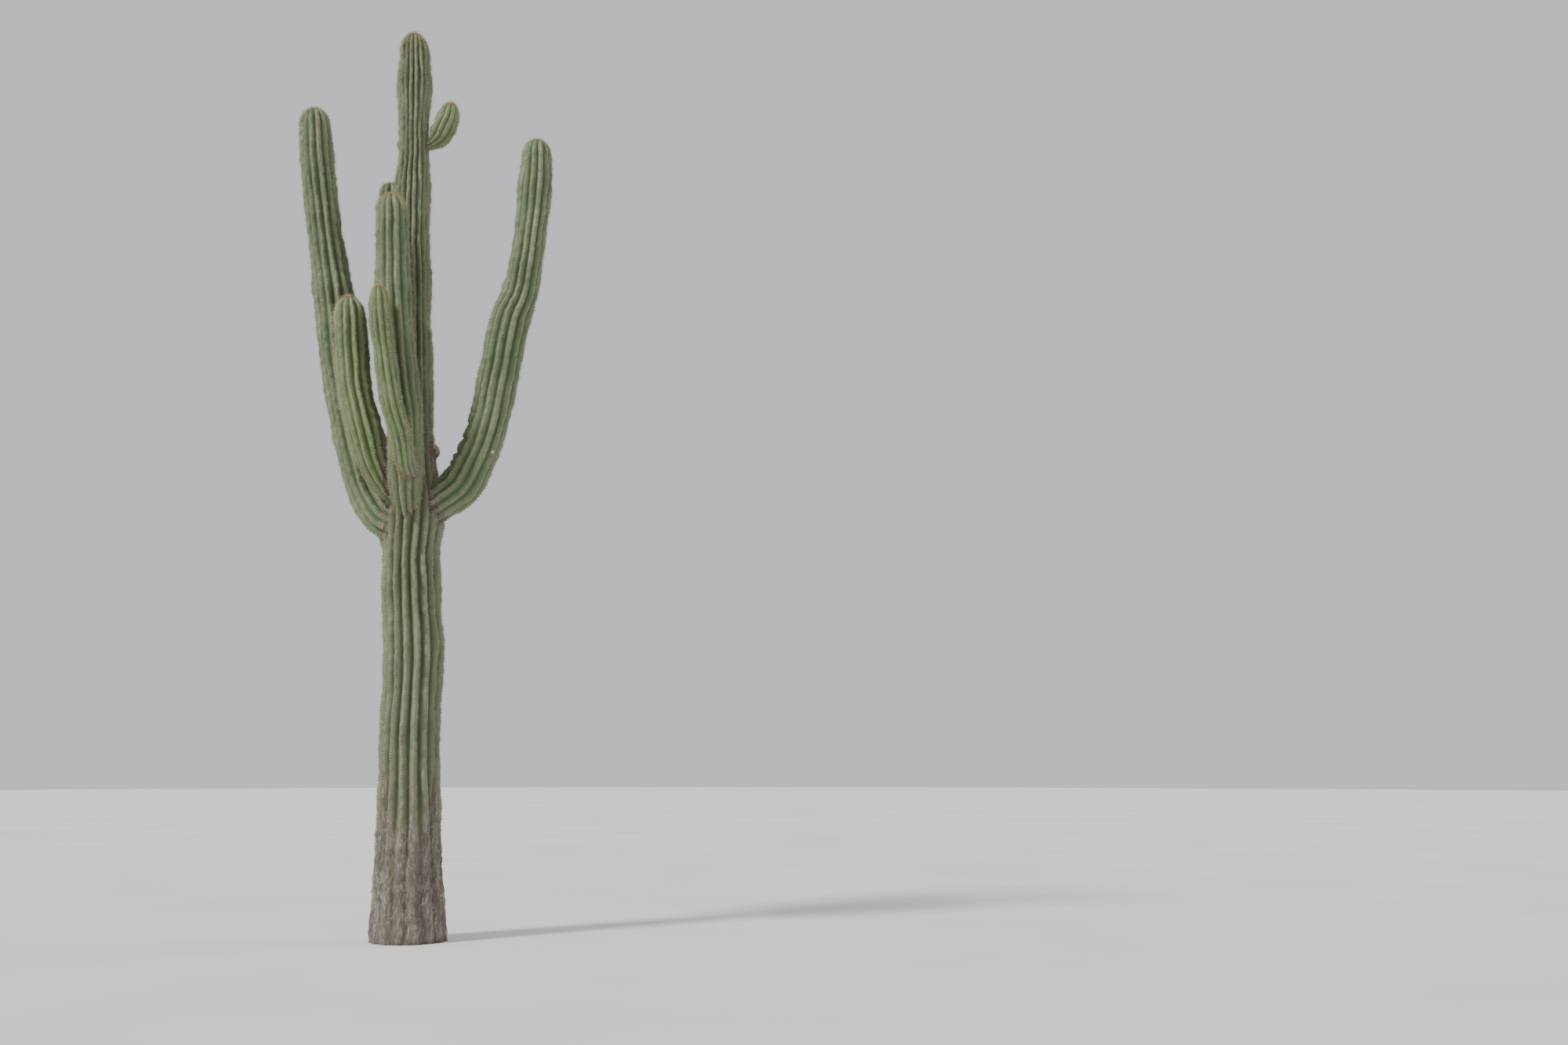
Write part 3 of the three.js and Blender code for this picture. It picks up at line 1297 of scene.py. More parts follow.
@dataclass
class Limb:
    """One limb: a pleated skin with felted, spined areoles down its ribs and a woolly crown.

    Attributes:
        name: What its pieces are named after.
        nodes: The solids that its skin stands for.
        stations: x, y, z and crest radius along its axis, root first.
        ribs: How many ribs it has.
        tip: How long the dome of its tip is.
        hinge: What its bend turns about.
        seed: Starts everything random on it.
        finish: Its skin.
        slot: The record's slot for its skin.
        late_ribs: Ribs that open only further up, and how far along.
        swellings: Local bulges.
        valley_share: How deep the valleys are, as a share of the radius.
        vigour: How long its spines are, against the usual.
        creased: From where to where along it the inner side of its bend is creased.
        creases: How far along each crease is, chosen at random if none is given.
        fold_height: How high the rolls of skin between the creases are.
        callus_reach: How far from another limb its skin is corky.
    """

    name: str
    nodes: tuple[str, ...]
    stations: tuple[Station, ...]
    ribs: int
    tip: float
    hinge: Hinge
    seed: int
    finish: SkinFinish
    slot: Slot
    late_ribs: dict[int, float] = field(default_factory=dict)
    swellings: tuple[Swelling, ...] = ()
    valley_share: float = 0.175
    vigour: float = 1.0
    creased: tuple[float, float] = (0.30, 0.80)
    creases: tuple[float, ...] = ()
    fold_height: float = 0.012
    callus_reach: float = 0.10

    # Ribs: how pointed they are, how they open, how unlike they are, and how they waver
    crest_power: ClassVar[float] = 1.1
    rib_opening: ClassVar[float] = 0.7
    hidden_rib: ClassVar[float] = 0.03
    valley_spread: ClassVar[tuple[float, float]] = (0.88, 1.12)
    waves: ClassVar[tuple[tuple[float, float], ...]] = (
        (0.95, 0.0036), (0.37, 0.0038), (0.118, 0.0022), (0.087, 0.0016))

    # Rolls of skin inside the bend: how long, how they fade, and how they squeeze valleys and wear spines
    bend_samples: ClassVar[int] = 20
    fold_lengths: ClassVar[tuple[float, float]] = (0.065, 0.150)
    fold_fade: ClassVar[float] = 0.08
    fold_focus: ClassVar[float] = 1.3
    fold_squeeze: ClassVar[float] = 19.0
    fold_wear: ClassVar[float] = 14.0
    fold_level: ClassVar[float] = 0.55

    # Areoles: where they start and end, how open a rib must be to bear them, and how many a piece holds
    first_areole: ClassVar[float] = 0.02
    crown_gap: ClassVar[float] = 0.004
    bearing_ridge: ClassVar[float] = 0.6
    most_areoles: ClassVar[int] = 3000

    # Crown: how far down it reaches, how much longer its spines are, and its wool
    crown_height: ClassVar[float] = 0.30
    crown_vigour: ClassVar[float] = 0.25
    wool_reach: ClassVar[float] = 0.055
    wool_tufts: ClassVar[int] = 240
    tuft: ClassVar[float] = 0.0075

    # Where limbs meet: how closely they are probed, and how corky the skin is
    probe_step: ClassVar[float] = 0.04
    least_probes: ClassVar[int] = 8
    callus_cork: ClassVar[float] = 0.5

    # What is added to the seed for the luck of each areole and for the wool
    luck_shift: ClassVar[int] = 1
    wool_shift: ClassVar[int] = 2

    def __post_init__(self) -> None:
        """Works out the axis and the random waves of the ribs."""
        self.axis = Axis(self.stations, self.hinge)
        self.length = self.axis.length - SKIN_INSET
        chance = np.random.default_rng(self.seed)
        self.phases = chance.uniform(0.0, TURN, (self.ribs, len(self.waves)))
        self.sways = chance.uniform(0.0, TURN, (self.ribs, len(self.waves)))
        self.valleys = chance.uniform(*self.valley_spread, self.ribs)
        self.inside = unit(self.axis.at(np.linspace(*self.creased, self.bend_samples)).bend.mean(axis=0))
        if not self.creases:
            most = math.ceil(self.creased[1] / self.fold_lengths[0])
            self.creases = tuple(self.creased[0] + np.cumsum(chance.uniform(*self.fold_lengths, most)))

    @property
    def shoulder(self) -> float:
        """How far along the dome of the tip begins."""
        return self.length - self.tip

    @property
    def full_arc(self) -> float:
        """How long the skin is from the root to the middle of the crown."""
        return self.shoulder + self.tip * math.pi / 2

    def arc_of(self, distance: Array) -> Array:
        """Returns how far along the skin each distance along the axis is, which is more round the dome."""
        into = np.clip((distance - self.shoulder) / self.tip, 0.0, 1.0)
        return np.minimum(distance, self.shoulder) + self.tip * np.arcsin(into)

    def distance_of(self, arc: Array) -> Array:
        """Returns how far along the axis each distance along the skin is."""
        over = np.clip((arc - self.shoulder) / self.tip, 0.0, math.pi / 2)
        return np.minimum(arc, self.shoulder) + self.tip * np.sin(over)

    def rib_spans(self, distance: Array) -> tuple[Array, Array, Array]:
        """Works out how the ribs share the turn round the limb.

        Args:
            distance: Metres from the root.

        Returns:
            The angle where each rib starts, its width, and how far it has opened, for every distance.
        """
        opened = np.ones((len(distance), self.ribs))
        for rib, start in self.late_ribs.items():
            step = smooth((distance - start) / self.rib_opening)
            opened[:, rib] = self.hidden_rib + (1 - self.hidden_rib) * step
        widths = opened * TURN / opened.sum(axis=1, keepdims=True)
        starts = np.cumsum(widths, axis=1) - widths - widths[:, :1] / 2
        return starts, widths, opened

    def waver(self, distance: Array, rib: Array, phases: Array) -> Array:
        """Adds up slow random waves along each rib."""
        return sum(height * np.sin(distance * TURN / length + phases[rib, order])
                   for order, (length, height) in enumerate(self.waves))

    def rolled(self, out: Array, distance: Array) -> Array:
        """Returns how high the skin's rolls are: highest on the inner side of the limb's bend.

        Args:
            out: Which way each place faces, straight out from the axis.
            distance: Metres from the root.

        Returns:
            The height of a roll at each place, in metres.
        """
        start, stop = self.creased
        span = smooth((distance - start) / self.fold_fade) * smooth((stop - distance) / self.fold_fade)
        return self.fold_height * span * np.clip(out @ self.inside, 0.0, 1.0) ** self.fold_focus

    def folds(self, distance: Array) -> Array:
        """Returns how far each place is up a roll, as a share of its height: round on top, sharp between."""
        beat = np.interp(distance, self.creases, np.arange(len(self.creases)))
        return np.sqrt(np.abs(np.sin(beat * math.pi))) - self.fold_level

    def bulges(self, places: Array) -> Array:
        """Adds up the limb's swellings.

        Args:
            places: Places on the skin without them.

        Returns:
            How far the skin is pushed out at each place.
        """
        total = np.zeros(len(places))
        for swelling in self.swellings:
            gap = np.linalg.norm(places - np.array(swelling.place), axis=1)
            total += swelling.height * smooth(1 - gap / swelling.reach)
        return total

    def valley_depth(self, sections: Sections, reach: Array) -> Array:
        """Returns how deep the valleys are at each place."""
        return self.valley_share * reach

    def trace(self, distance: Array, rib: Array, share: Array) -> Traced:
        """Finds places on the skin before its valleys are sunk.

        Args:
            distance: Metres from the root along the axis.
            rib: The number of the rib that each place is on.
            share: How far across that rib it is, from 0 to 1, with the crest at 0.5.

        Returns:
            The places and what is known there.
        """
        sections = self.axis.at(distance)
        starts, widths, opened = self.rib_spans(distance)
        rows = np.arange(len(distance))
        ridge = np.sin(math.pi * share)
        sway = self.waver(distance, rib, self.sways) / sections.girth * ridge
        angle = (starts[rows, rib] + widths[rows, rib] * share + sway)[:, None]
        out = sections.across * np.cos(angle) + sections.other * np.sin(angle)
        into = np.clip((distance - self.shoulder) / self.tip, 0.0, 1.0)
        dome = np.sqrt(1 - into**2)
        rolled = self.rolled(out, distance)
        uneven = self.waver(distance, rib, self.phases) * ridge + rolled * self.folds(distance)
        uneven += self.bulges(sections.centre + out * sections.girth[:, None])
        reach = (sections.girth - SKIN_INSET + uneven) * dome
        facing = unit(out * dome[:, None] + sections.along * into[:, None])
        up = unit(sections.along * (dome[:, None] + TINY) - out * into[:, None])
        near = np.where(share < CREST, rib, (rib + 1) % self.ribs)
        valley = self.valley_depth(sections, reach) * self.valleys[near] * (1 - self.fold_squeeze * rolled)
        return Traced(sections.centre + out * reach[:, None], out, facing, up,
                      ridge * opened[rows, rib], valley, self.arc_of(distance), rolled)

    def ring_distances(self) -> Array:
        """Spaces the rings of the mesh, closer where it is creased and round the tip.

        Returns:
            How far along each ring is.
        """
        rings = [0.0]
        while rings[-1] < self.shoulder - RING_STEP / 2:
            creased = self.creased[0] < rings[-1] < self.creased[1]
            rings.append(rings[-1] + (CREASED_RING_STEP if creased else RING_STEP))
        rings[-1] = self.shoulder
        turns = np.arange(1, TIP_RINGS) / TIP_RINGS * math.pi / 2
        return np.concatenate([rings, self.shoulder + self.tip * np.sin(turns)])

    def cork(self, traced: Traced, limbs: list["Limb"]) -> Array:
        """Works out how corky the skin is: a little, where it meets another limb.

        Args:
            traced: Places on the skin.
            limbs: All the limbs.

        Returns:
            How corky each place is, from 0 to 1.
        """
        worn = np.zeros(len(traced.place))
        for limb in limbs:
            if limb is not self:
                worn = np.maximum(worn, smooth(1 - limb.clearance(traced.place) / self.callus_reach))
        return worn * self.callus_cork

    def build_skin(self, workshop: Workshop, limbs: list["Limb"]) -> Piece:
        """Builds the skin as one closed mesh.

        Args:
            workshop: What it is made with.
            limbs: All the limbs.

        Returns:
            The skin.
        """
        rings = self.ring_distances()
        columns = self.ribs * RIB_COLUMNS
        distance = np.repeat(rings, columns)
        column = np.tile(np.arange(columns), len(rings))
        rib, share = column // RIB_COLUMNS, (column % RIB_COLUMNS) / RIB_COLUMNS
        traced = self.trace(distance, rib, share)
        facts = {"out": traced.out, "ridge": traced.ridge, "valley": traced.valley, "arc": traced.arc,
                 "stagger": (rib % 2) * STAGGER, "cork": self.cork(traced, limbs)}
        ends = self.axis.at(np.array([0.0, self.length])).centre
        points = np.vstack([traced.place, ends])
        facts = {label: np.concatenate([values, values[[0, -1]]]) for label, values in facts.items()}
        # The middle points of the two ends are in no valley
        facts["valley"][-len(ends):] = 0.0
        carrier = mesh_object(self.name, points, self.skin_faces(len(rings), columns), facts)
        skin = workshop.pleats.apply(carrier, f"{self.name}_skin", workshop.material(self.finish),
                                     crest_power=self.crest_power)
        return Piece(skin, self.slot, self.nodes)

    @staticmethod
    def skin_faces(rings: int, columns: int) -> list[tuple[int, ...]]:
        """Joins rings of points, and closes each end on a middle point.

        Args:
            rings: How many rings there are.
            columns: How many points each has.

        Returns:
            The faces, seen from outside.
        """
        foot, head = rings * columns, rings * columns + 1
        top = (rings - 1) * columns
        faces: list[tuple[int, ...]] = []
        for column in range(columns):
            beside = (column + 1) % columns
            faces.append((foot, beside, column))
            faces.append((head, top + column, top + beside))
            faces.extend((low + column, low + beside, low + columns + beside, low + columns + column)
                         for low in range(0, top, columns))
        return faces

    def clearance(self, places: Array) -> Array:
        """Measures how far places are from this limb.

        Args:
            places: The places.

        Returns:
            How far outside its crests each is, and a negative distance inside.
        """
        probes = max(self.least_probes, int(self.length / self.probe_step))
        steps = np.linspace(0.0, self.length, probes)
        sections = self.axis.at(steps)
        dome = np.sqrt(1 - np.clip((steps - self.shoulder) / self.tip, 0.0, 1.0) ** 2)
        reach = (sections.girth - SKIN_INSET) * dome
        nearest = ((sections.centre**2).sum(axis=1) - 2 * places @ sections.centre.T).argmin(axis=1)
        return np.linalg.norm(places - sections.centre[nearest], axis=1) - reach[nearest]

    def keeps_spines(self, traced: Traced, chance: np.random.Generator) -> Array:
        """Returns whether each areole still has its spines."""
        return np.ones(len(traced.place), dtype=bool)

    def spine_vigour(self, traced: Traced) -> Array:
        """Returns how long the spines of each areole are, against the usual."""
        crown = smooth((traced.arc - self.full_arc + self.crown_height) / self.crown_height)
        return self.vigour * (1 + self.crown_vigour * crown) * (1 - self.fold_wear * traced.rolled)

    def spine_kinds(self, areoles: Traced) -> dict[str, tuple[SpineFinish, Array]]:
        """Sorts the areoles by the kind of spines that they bear.

        Args:
            areoles: The areoles.

        Returns:
            The finish of each kind and which areoles bear it, by the kind's name.
        """
        crown = areoles.arc > self.full_arc - self.crown_height
        return {"spines": (STRAW_SPINES, ~crown), "crown_spines": (CROWN_SPINES, crown)}

    def settled(self, traced: Traced) -> Traced:
        """Returns the same places, moved in to where the sunk valleys leave the skin."""
        sunk = traced.valley * (1 - traced.ridge**self.crest_power)
        return replace(traced, place=traced.place - traced.out * sunk[:, None])

    def crown_patch(self) -> Traced:
        """Scatters places over the skin, close round the middle of the crown.

        Returns:
            The places.
        """
        chance = np.random.default_rng(self.seed + self.wool_shift)
        from_middle = self.wool_reach * np.sqrt(chance.uniform(size=self.wool_tufts))
        rib = chance.integers(self.ribs, size=self.wool_tufts)
        share = chance.uniform(size=self.wool_tufts)
        return self.settled(self.trace(self.distance_of(self.full_arc - from_middle), rib, share))

    def areoles(self, limbs: list["Limb"]) -> Traced:
        """Finds every areole that isn't buried in another limb.

        Args:
            limbs: All the limbs.

        Returns:
            The areoles.
        """
        count = int(self.full_arc / AREOLE_PITCH)
        rib = np.repeat(np.arange(self.ribs), count)
        arc = (np.tile(np.arange(count), self.ribs) + (rib % 2) * STAGGER + self.first_areole) * AREOLE_PITCH
        within = arc < self.full_arc - self.crown_gap
        rib, arc = rib[within], arc[within]
        traced = self.settled(self.trace(self.distance_of(arc), rib, np.full(len(arc), CREST)))
        shown = traced.ridge > self.bearing_ridge
        for limb in limbs:
            if limb is not self:
                shown &= limb.clearance(traced.place) > 0.0
        shown &= self.keeps_spines(traced, np.random.default_rng(self.seed + self.luck_shift))
        return traced.chosen(shown)

    def build_pads(self, workshop: Workshop, areoles: Traced) -> Piece:
        """Lays a felt cushion on every areole.

        Args:
            workshop: What they are made with.
            areoles: The areoles.

        Returns:
            The cushions.
        """
        carrier = areoles.sown(f"{self.name}_areole_points", self.spine_vigour(areoles))
        pads = workshop.pads.apply(carrier, f"{self.name}_areoles", workshop.material(AREOLE_FELT),
                                   seed=self.seed)
        return Piece(pads, Slot.CROWN_WOOL)

    def build_spines(self, workshop: Workshop, name: str, finish: SpineFinish,
                     areoles: Traced) -> list[Piece]:
        """Grows one kind of spines, in as many pieces as keeps each a fair size.

        Args:
            workshop: What they are made with.
            name: What the pieces are named after.
            finish: Their finish.
            areoles: The areoles that bear them.

        Returns:
            The pieces, lowest first.
        """
        parts = math.ceil(len(areoles.place) / self.most_areoles)
        upwards = np.argsort(areoles.place[:, 2], kind="stable")
        pieces = []
        for part in range(parts):
            label = f"{name}_{part + 1}" if parts > 1 else name
            share = areoles.chosen(np.array_split(upwards, parts)[part])
            carrier = share.sown(f"{label}_points", self.spine_vigour(share))
            spines = workshop.bristles.apply(carrier, label, workshop.material(finish), seed=self.seed)
            pieces.append(Piece(spines, Slot.SPINES))
        return pieces

    def build_wool(self, workshop: Workshop) -> Piece:
        """Mats the crown with tufts of wool.

        Args:
            workshop: What it is made with.

        Returns:
            The wool.
        """
        carrier = self.crown_patch().sown(f"{self.name}_wool_points", np.ones(self.wool_tufts))
        wool = workshop.pads.apply(carrier, f"{self.name}_crown_felt", workshop.material(CROWN_FELT),
                                   seed=self.seed, length=self.tuft, width=self.tuft, height=self.tuft)
        return Piece(wool, Slot.CROWN_WOOL)

    def dress(self, workshop: Workshop, limbs: list["Limb"]) -> list[Piece]:
        """Builds the whole limb.

        Args:
            workshop: What it is made with.
            limbs: All the limbs.

        Returns:
            Its skin, its areoles, each kind of spines and the crown's wool.
        """
        areoles = self.areoles(limbs)
        pieces = [self.build_skin(workshop, limbs), self.build_pads(workshop, areoles)]
        for kind, (finish, chosen) in self.spine_kinds(areoles).items():
            pieces += self.build_spines(workshop, f"{self.name}_{kind}", finish, areoles.chosen(chosen))
        return [*pieces, self.build_wool(workshop)]


@dataclass
class Trunk(Limb):
    """The main stem: corky and flared at the foot, where old spines have dropped.

    Attributes:
        cork_top: How high the last of the cork reaches.
        bare_foot: Up to where no spines are left.
        bark_top: Up to where cork fills the valleys and spines have dropped.
        bark_valley: How deep the valleys are at the ground, as a share of the radius.
        foot_odds: How many of the lowest areoles keep their spines.
        foot_vigour: How long those spines are, against the usual.
        vigour_top: Where the spines reach their usual length.
        young_height: Where the grey old spines give way to straw ones.
    """

    finish: SkinFinish = TRUNK_SKIN
    slot: Slot = Slot.OLD_SKIN
    fold_height: float = 0.0
    cork_top: float = 1.9
    bare_foot: float = 0.12
    bark_top: float = 1.6
    bark_valley: float = 0.05
    foot_odds: float = 0.10
    foot_vigour: float = 0.55
    vigour_top: float = 3.0
    young_height: float = 2.4

    def valley_depth(self, sections: Sections, reach: Array) -> Array:
        """Returns how deep the valleys are: cork fills them at the foot."""
        filled = smooth(sections.centre[:, 2] / self.bark_top)
        return reach * (self.bark_valley + (self.valley_share - self.bark_valley) * filled)

    def cork(self, traced: Traced, limbs: list[Limb]) -> Array:
        """Returns how corky the skin is: wholly at the ground, and less up to the cork's top."""
        foot = np.clip(1 - traced.place[:, 2] / self.cork_top, 0.0, 1.0)
        return np.maximum(super().cork(traced, limbs), foot)

    def keeps_spines(self, traced: Traced, chance: np.random.Generator) -> Array:
        """Finds where spines have dropped: few are left near the ground.

        Args:
            traced: The areoles.
            chance: Decides each one's luck.

        Returns:
            Whether each areole still has its spines.
        """
        height = traced.place[:, 2]
        odds = self.foot_odds + (1 - self.foot_odds) * smooth((height - self.bare_foot) / self.bark_top)
        return (chance.uniform(size=len(traced.place)) < odds) & (height > self.bare_foot)

    def spine_vigour(self, traced: Traced) -> Array:
        """Returns how long the spines of each areole are: worn short near the ground."""
        grown = smooth(traced.place[:, 2] / self.vigour_top)
        return super().spine_vigour(traced) * (self.foot_vigour + (1 - self.foot_vigour) * grown)

    def spine_kinds(self, areoles: Traced) -> dict[str, tuple[SpineFinish, Array]]:
        """Sorts the areoles by the kind of spines that they bear: low down they are old.

        Args:
            areoles: The areoles.

        Returns:
            The finish of each kind and which areoles bear it, by the kind's name.
        """
        old = areoles.place[:, 2] < self.young_height
        younger = super().spine_kinds(areoles)
        return {"old_spines": (OLD_SPINES, old)} | {
            kind: (finish, chosen & ~old) for kind, (finish, chosen) in younger.items()}


@dataclass
class Arm(Limb):
    """A grown arm, which bends up from the fork and is creased inside its bend."""

    finish: SkinFinish = ARM_SKIN
    slot: Slot = Slot.ARM_SKIN


@dataclass
class YoungArm(Limb):
    """A short arm whose skin is still fresh."""

    finish: SkinFinish = FRESH_SKIN
    slot: Slot = Slot.YOUNG_SKIN


@dataclass
class Pup(YoungArm):
    """A small young arm on a narrow neck."""

    vigour: float = 1.1
    creased: tuple[float, float] = (0.12, 0.24)
    fold_height: float = 0.006


@dataclass
class Bud(YoungArm):
    """A bud that has barely come out of its areole, with low ribs and short spines."""

    vigour: float = 0.8
    valley_share: float = 0.12
    fold_height: float = 0.0


@dataclass
class Cactus:
    """The whole plant: a forked trunk with its arms, a pup and a bud.

    Attributes:
        workshop: What it is made with.
    """

    workshop: Workshop = field(default_factory=Workshop)

    def trunk(self) -> Trunk:
        """Measures out the trunk, with the waists and swellings of its years of growth.

        Returns:
            The trunk.
        """
        return Trunk(
            name="trunk", nodes=("trunk",), ribs=18, tip=0.17, hinge=Hinge.FRONTWAYS, seed=11,
            late_ribs={3: 0.9, 9: 1.7, 14: 2.7},
            swellings=(
                Swelling((-0.345, 0.0, 3.55), 0.18, 0.036), Swelling((0.17, 0.0, 3.58), 0.14, 0.014),
                Swelling((-0.36, 0.0, 7.21), 0.07, 0.03), Swelling((0.062, 0.0, 4.47), 0.07, -0.032),
                Swelling((0.0, 0.0, 5.48), 0.11, -0.03), Swelling((-0.357, 0.0, 3.48), 0.1, 0.016),
                Swelling((0.105, 0.0, 4.075), 0.05, -0.022), Swelling((-0.37, 0.0, 3.42), 0.09, 0.012),
                Swelling((-0.35, 0.0, 2.88), 0.12, 0.012), Swelling((-0.03, 0.0, 6.83), 0.09, 0.014),
                Swelling((0.0, 0.0, 5.56), 0.25, -0.017), Swelling((0.18, 0.0, 3.21), 0.12, 0.012),
                Swelling((-0.39, 0.0, 8.07), 0.1, -0.011), Swelling((-0.39, 0.0, 7.64), 0.08, -0.01)),
            stations=(
                (0.0, 0.0, 0.0, 0.335), (-0.02, 0.0, 0.5, 0.302), (-0.04, 0.0, 1.3, 0.27),
                (-0.055, 0.0, 1.8, 0.266), (-0.046, 0.0, 2.18, 0.258), (-0.046, 0.0, 2.5, 0.272),
                (-0.076, 0.0, 2.85, 0.258), (-0.092, 0.0, 3.1, 0.263), (-0.102, 0.0, 3.35, 0.252),
                (-0.09, 0.0, 3.7, 0.268), (-0.116, 0.0, 4.12, 0.214), (-0.138, 0.0, 4.55, 0.194),
                (-0.156, 0.0, 5.0, 0.19), (-0.192, 0.0, 5.88, 0.179), (-0.214, 0.0, 6.33, 0.167),
                (-0.222, 0.0, 6.79, 0.168), (-0.22, 0.0, 7.07, 0.14), (-0.233, 0.0, 7.44, 0.139),
                (-0.239, 0.0, 7.76, 0.162), (-0.246, 0.0, 8.0, 0.149), (-0.262, 0.0, 8.316, 0.127)))

    def side_arms(self) -> list[Limb]:
        """Measures out the two long arms, which bend out to the left and right.

        Returns:
            The arms.
        """
        left = Arm(
            name="left_arm", nodes=("left_arm_elbow", "left_arm_upright"), ribs=13, tip=0.165,
            hinge=Hinge.FRONTWAYS, seed=23, late_ribs={5: 0.7},
            swellings=(
                Swelling((-0.86, 0.07, 4.4), 0.14, 0.019), Swelling((-0.82, 0.04, 4.26), 0.08, 0.009),
                Swelling((-1.09, 0.13, 5.43), 0.12, 0.011), Swelling((-1.16, 0.15, 5.85), 0.12, 0.015),
                Swelling((-1.21, 0.16, 6.34), 0.09, -0.012), Swelling((-1.32, 0.16, 7.03), 0.08, -0.012),
                Swelling((-0.92, 0.17, 6.44), 0.14, -0.014), Swelling((-0.99, 0.16, 6.9), 0.08, -0.01),
                Swelling((-0.99, 0.15, 7.16), 0.12, 0.012)),
            stations=(
                (-0.15, -0.01, 3.59, 0.185), (-0.345, 0.0, 3.682, 0.184), (-0.468, 0.02, 3.835, 0.182),
                (-0.562, 0.04, 4.04, 0.182), (-0.718, 0.09, 4.57, 0.181), (-0.845, 0.13, 5.115, 0.184),
                (-0.945, 0.16, 5.75, 0.183), (-1.046, 0.17, 6.3, 0.166), (-1.133, 0.16, 6.85, 0.156),
                (-1.17, 0.15, 7.13, 0.162), (-1.212, 0.13, 7.63, 0.14)))
        right = Arm(
            name="right_arm", nodes=("right_arm_elbow", "right_arm_upright"), ribs=13, tip=0.15,
            hinge=Hinge.FRONTWAYS, finish=MARKED_SKIN, seed=37, late_ribs={8: 0.9},
            creased=(0.28, 1.16), creases=(0.28, 0.364, 0.544, 0.606, 0.672, 0.82, 0.978, 1.088, 1.22),
            fold_height=0.03,
            swellings=(
                Swelling((0.485, -0.06, 3.87), 0.06, -0.014), Swelling((0.8, -0.14, 4.74), 0.16, 0.016),
                Swelling((0.68, -0.19, 5.79), 0.1, 0.02), Swelling((0.755, -0.19, 6.19), 0.07, 0.016),
                Swelling((0.79, -0.19, 6.49), 0.08, -0.012), Swelling((1.11, -0.19, 6.68), 0.09, 0.012),
                Swelling((0.97, -0.19, 5.6), 0.07, -0.01), Swelling((0.85, -0.16, 4.89), 0.17, 0.013),
                Swelling((0.25, 0.01, 3.67), 0.11, -0.05), Swelling((0.4, -0.11, 4.59), 0.1, -0.024),
                Swelling((0.33, -0.1, 4.42), 0.06, 0.022), Swelling((0.3, -0.08, 4.29), 0.07, -0.026),
                Swelling((0.19, 0.0, 3.63), 0.09, -0.035)),
            stations=(
                (0.0, 0.0, 3.732, 0.166), (0.165, -0.02, 3.836, 0.18), (0.338, -0.05, 3.972, 0.195),
                (0.448, -0.08, 4.175, 0.188), (0.554, -0.11, 4.45, 0.179), (0.658, -0.15, 4.95, 0.183),
                (0.752, -0.18, 5.465, 0.182), (0.839, -0.19, 5.69, 0.164), (0.914, -0.19, 6.26, 0.146),
                (0.948, -0.17, 6.725, 0.158), (0.952, -0.15, 7.195, 0.13)))
        return [left, right]

    def upright_arms(self) -> list[Limb]:
        """Measures out the arms that rise close in front of the trunk and behind it.

        Returns:
            The arms.
        """
        front = Arm(
            name="front_arm", nodes=("front_arm",), ribs=12, tip=0.16, hinge=Hinge.SIDEWAYS, seed=41,
            stations=(
                (-0.115, -0.06, 3.68, 0.12), (-0.11, -0.23, 3.8, 0.13), (-0.1, -0.35, 4.05, 0.16),
                (-0.097, -0.4, 4.45, 0.159), (-0.165, -0.425, 4.9, 0.166), (-0.235, -0.43, 5.5, 0.166),
                (-0.27, -0.43, 6.1, 0.15), (-0.296, -0.43, 6.565, 0.145)))
        back = Arm(
            name="back_arm", nodes=("back_arm",), ribs=11, tip=0.11, hinge=Hinge.SIDEWAYS, seed=53,
            swellings=(Swelling((-0.61, 0.31, 6.87), 0.1, -0.016),),
            stations=(
                (-0.15, 0.06, 3.95, 0.095), (-0.225, 0.205, 4.12, 0.105), (-0.292, 0.285, 4.45, 0.122),
                (-0.335, 0.305, 4.7, 0.13), (-0.385, 0.31, 5.07, 0.133), (-0.43, 0.31, 5.67, 0.132),
                (-0.47, 0.31, 6.29, 0.128), (-0.503, 0.31, 6.957, 0.122)))
        return [front, back]

    def young_arms(self) -> list[Limb]:
        """Measures out the two short arms in front.

        Returns:
            The arms.
        """
        short = YoungArm(
            name="short_left_arm", nodes=("short_left_arm",), ribs=12, tip=0.15, hinge=Hinge.SIDEWAYS,
            seed=67,
            swellings=(
                Swelling((-0.285, -0.36, 4.33), 0.11, 0.033), Swelling((-0.5, -0.37, 5.48), 0.1, -0.018),
                Swelling((-0.53, -0.37, 5.61), 0.11, -0.034), Swelling((-0.46, -0.37, 5.14), 0.08, -0.01)),
            stations=(
                (-0.18, -0.09, 3.86, 0.11), (-0.3, -0.23, 3.96, 0.12), (-0.4, -0.34, 4.165, 0.148),
                (-0.478, -0.37, 4.44, 0.158), (-0.558, -0.37, 4.73, 0.153), (-0.594, -0.37, 4.98, 0.156),
                (-0.634, -0.37, 5.38, 0.148), (-0.654, -0.37, 5.633, 0.13)))
        slim = YoungArm(
            name="slim_front_arm", nodes=("slim_front_arm",), ribs=10, tip=0.13, hinge=Hinge.SIDEWAYS,
            seed=71,
            swellings=(
                Swelling((-0.375, -0.72, 5.36), 0.08, -0.008), Swelling((-0.37, -0.72, 5.54), 0.09, -0.015),
                Swelling((-0.32, -0.72, 5.05), 0.2, -0.012)),
            stations=(
                (-0.05, -0.38, 4.0, 0.075), (-0.05, -0.54, 4.08, 0.085), (-0.064, -0.67, 4.3, 0.095),
                (-0.14, -0.71, 4.55, 0.096), (-0.222, -0.72, 4.98, 0.096), (-0.282, -0.72, 5.38, 0.097),
                (-0.298, -0.72, 5.622, 0.082)))
        return [short, slim]

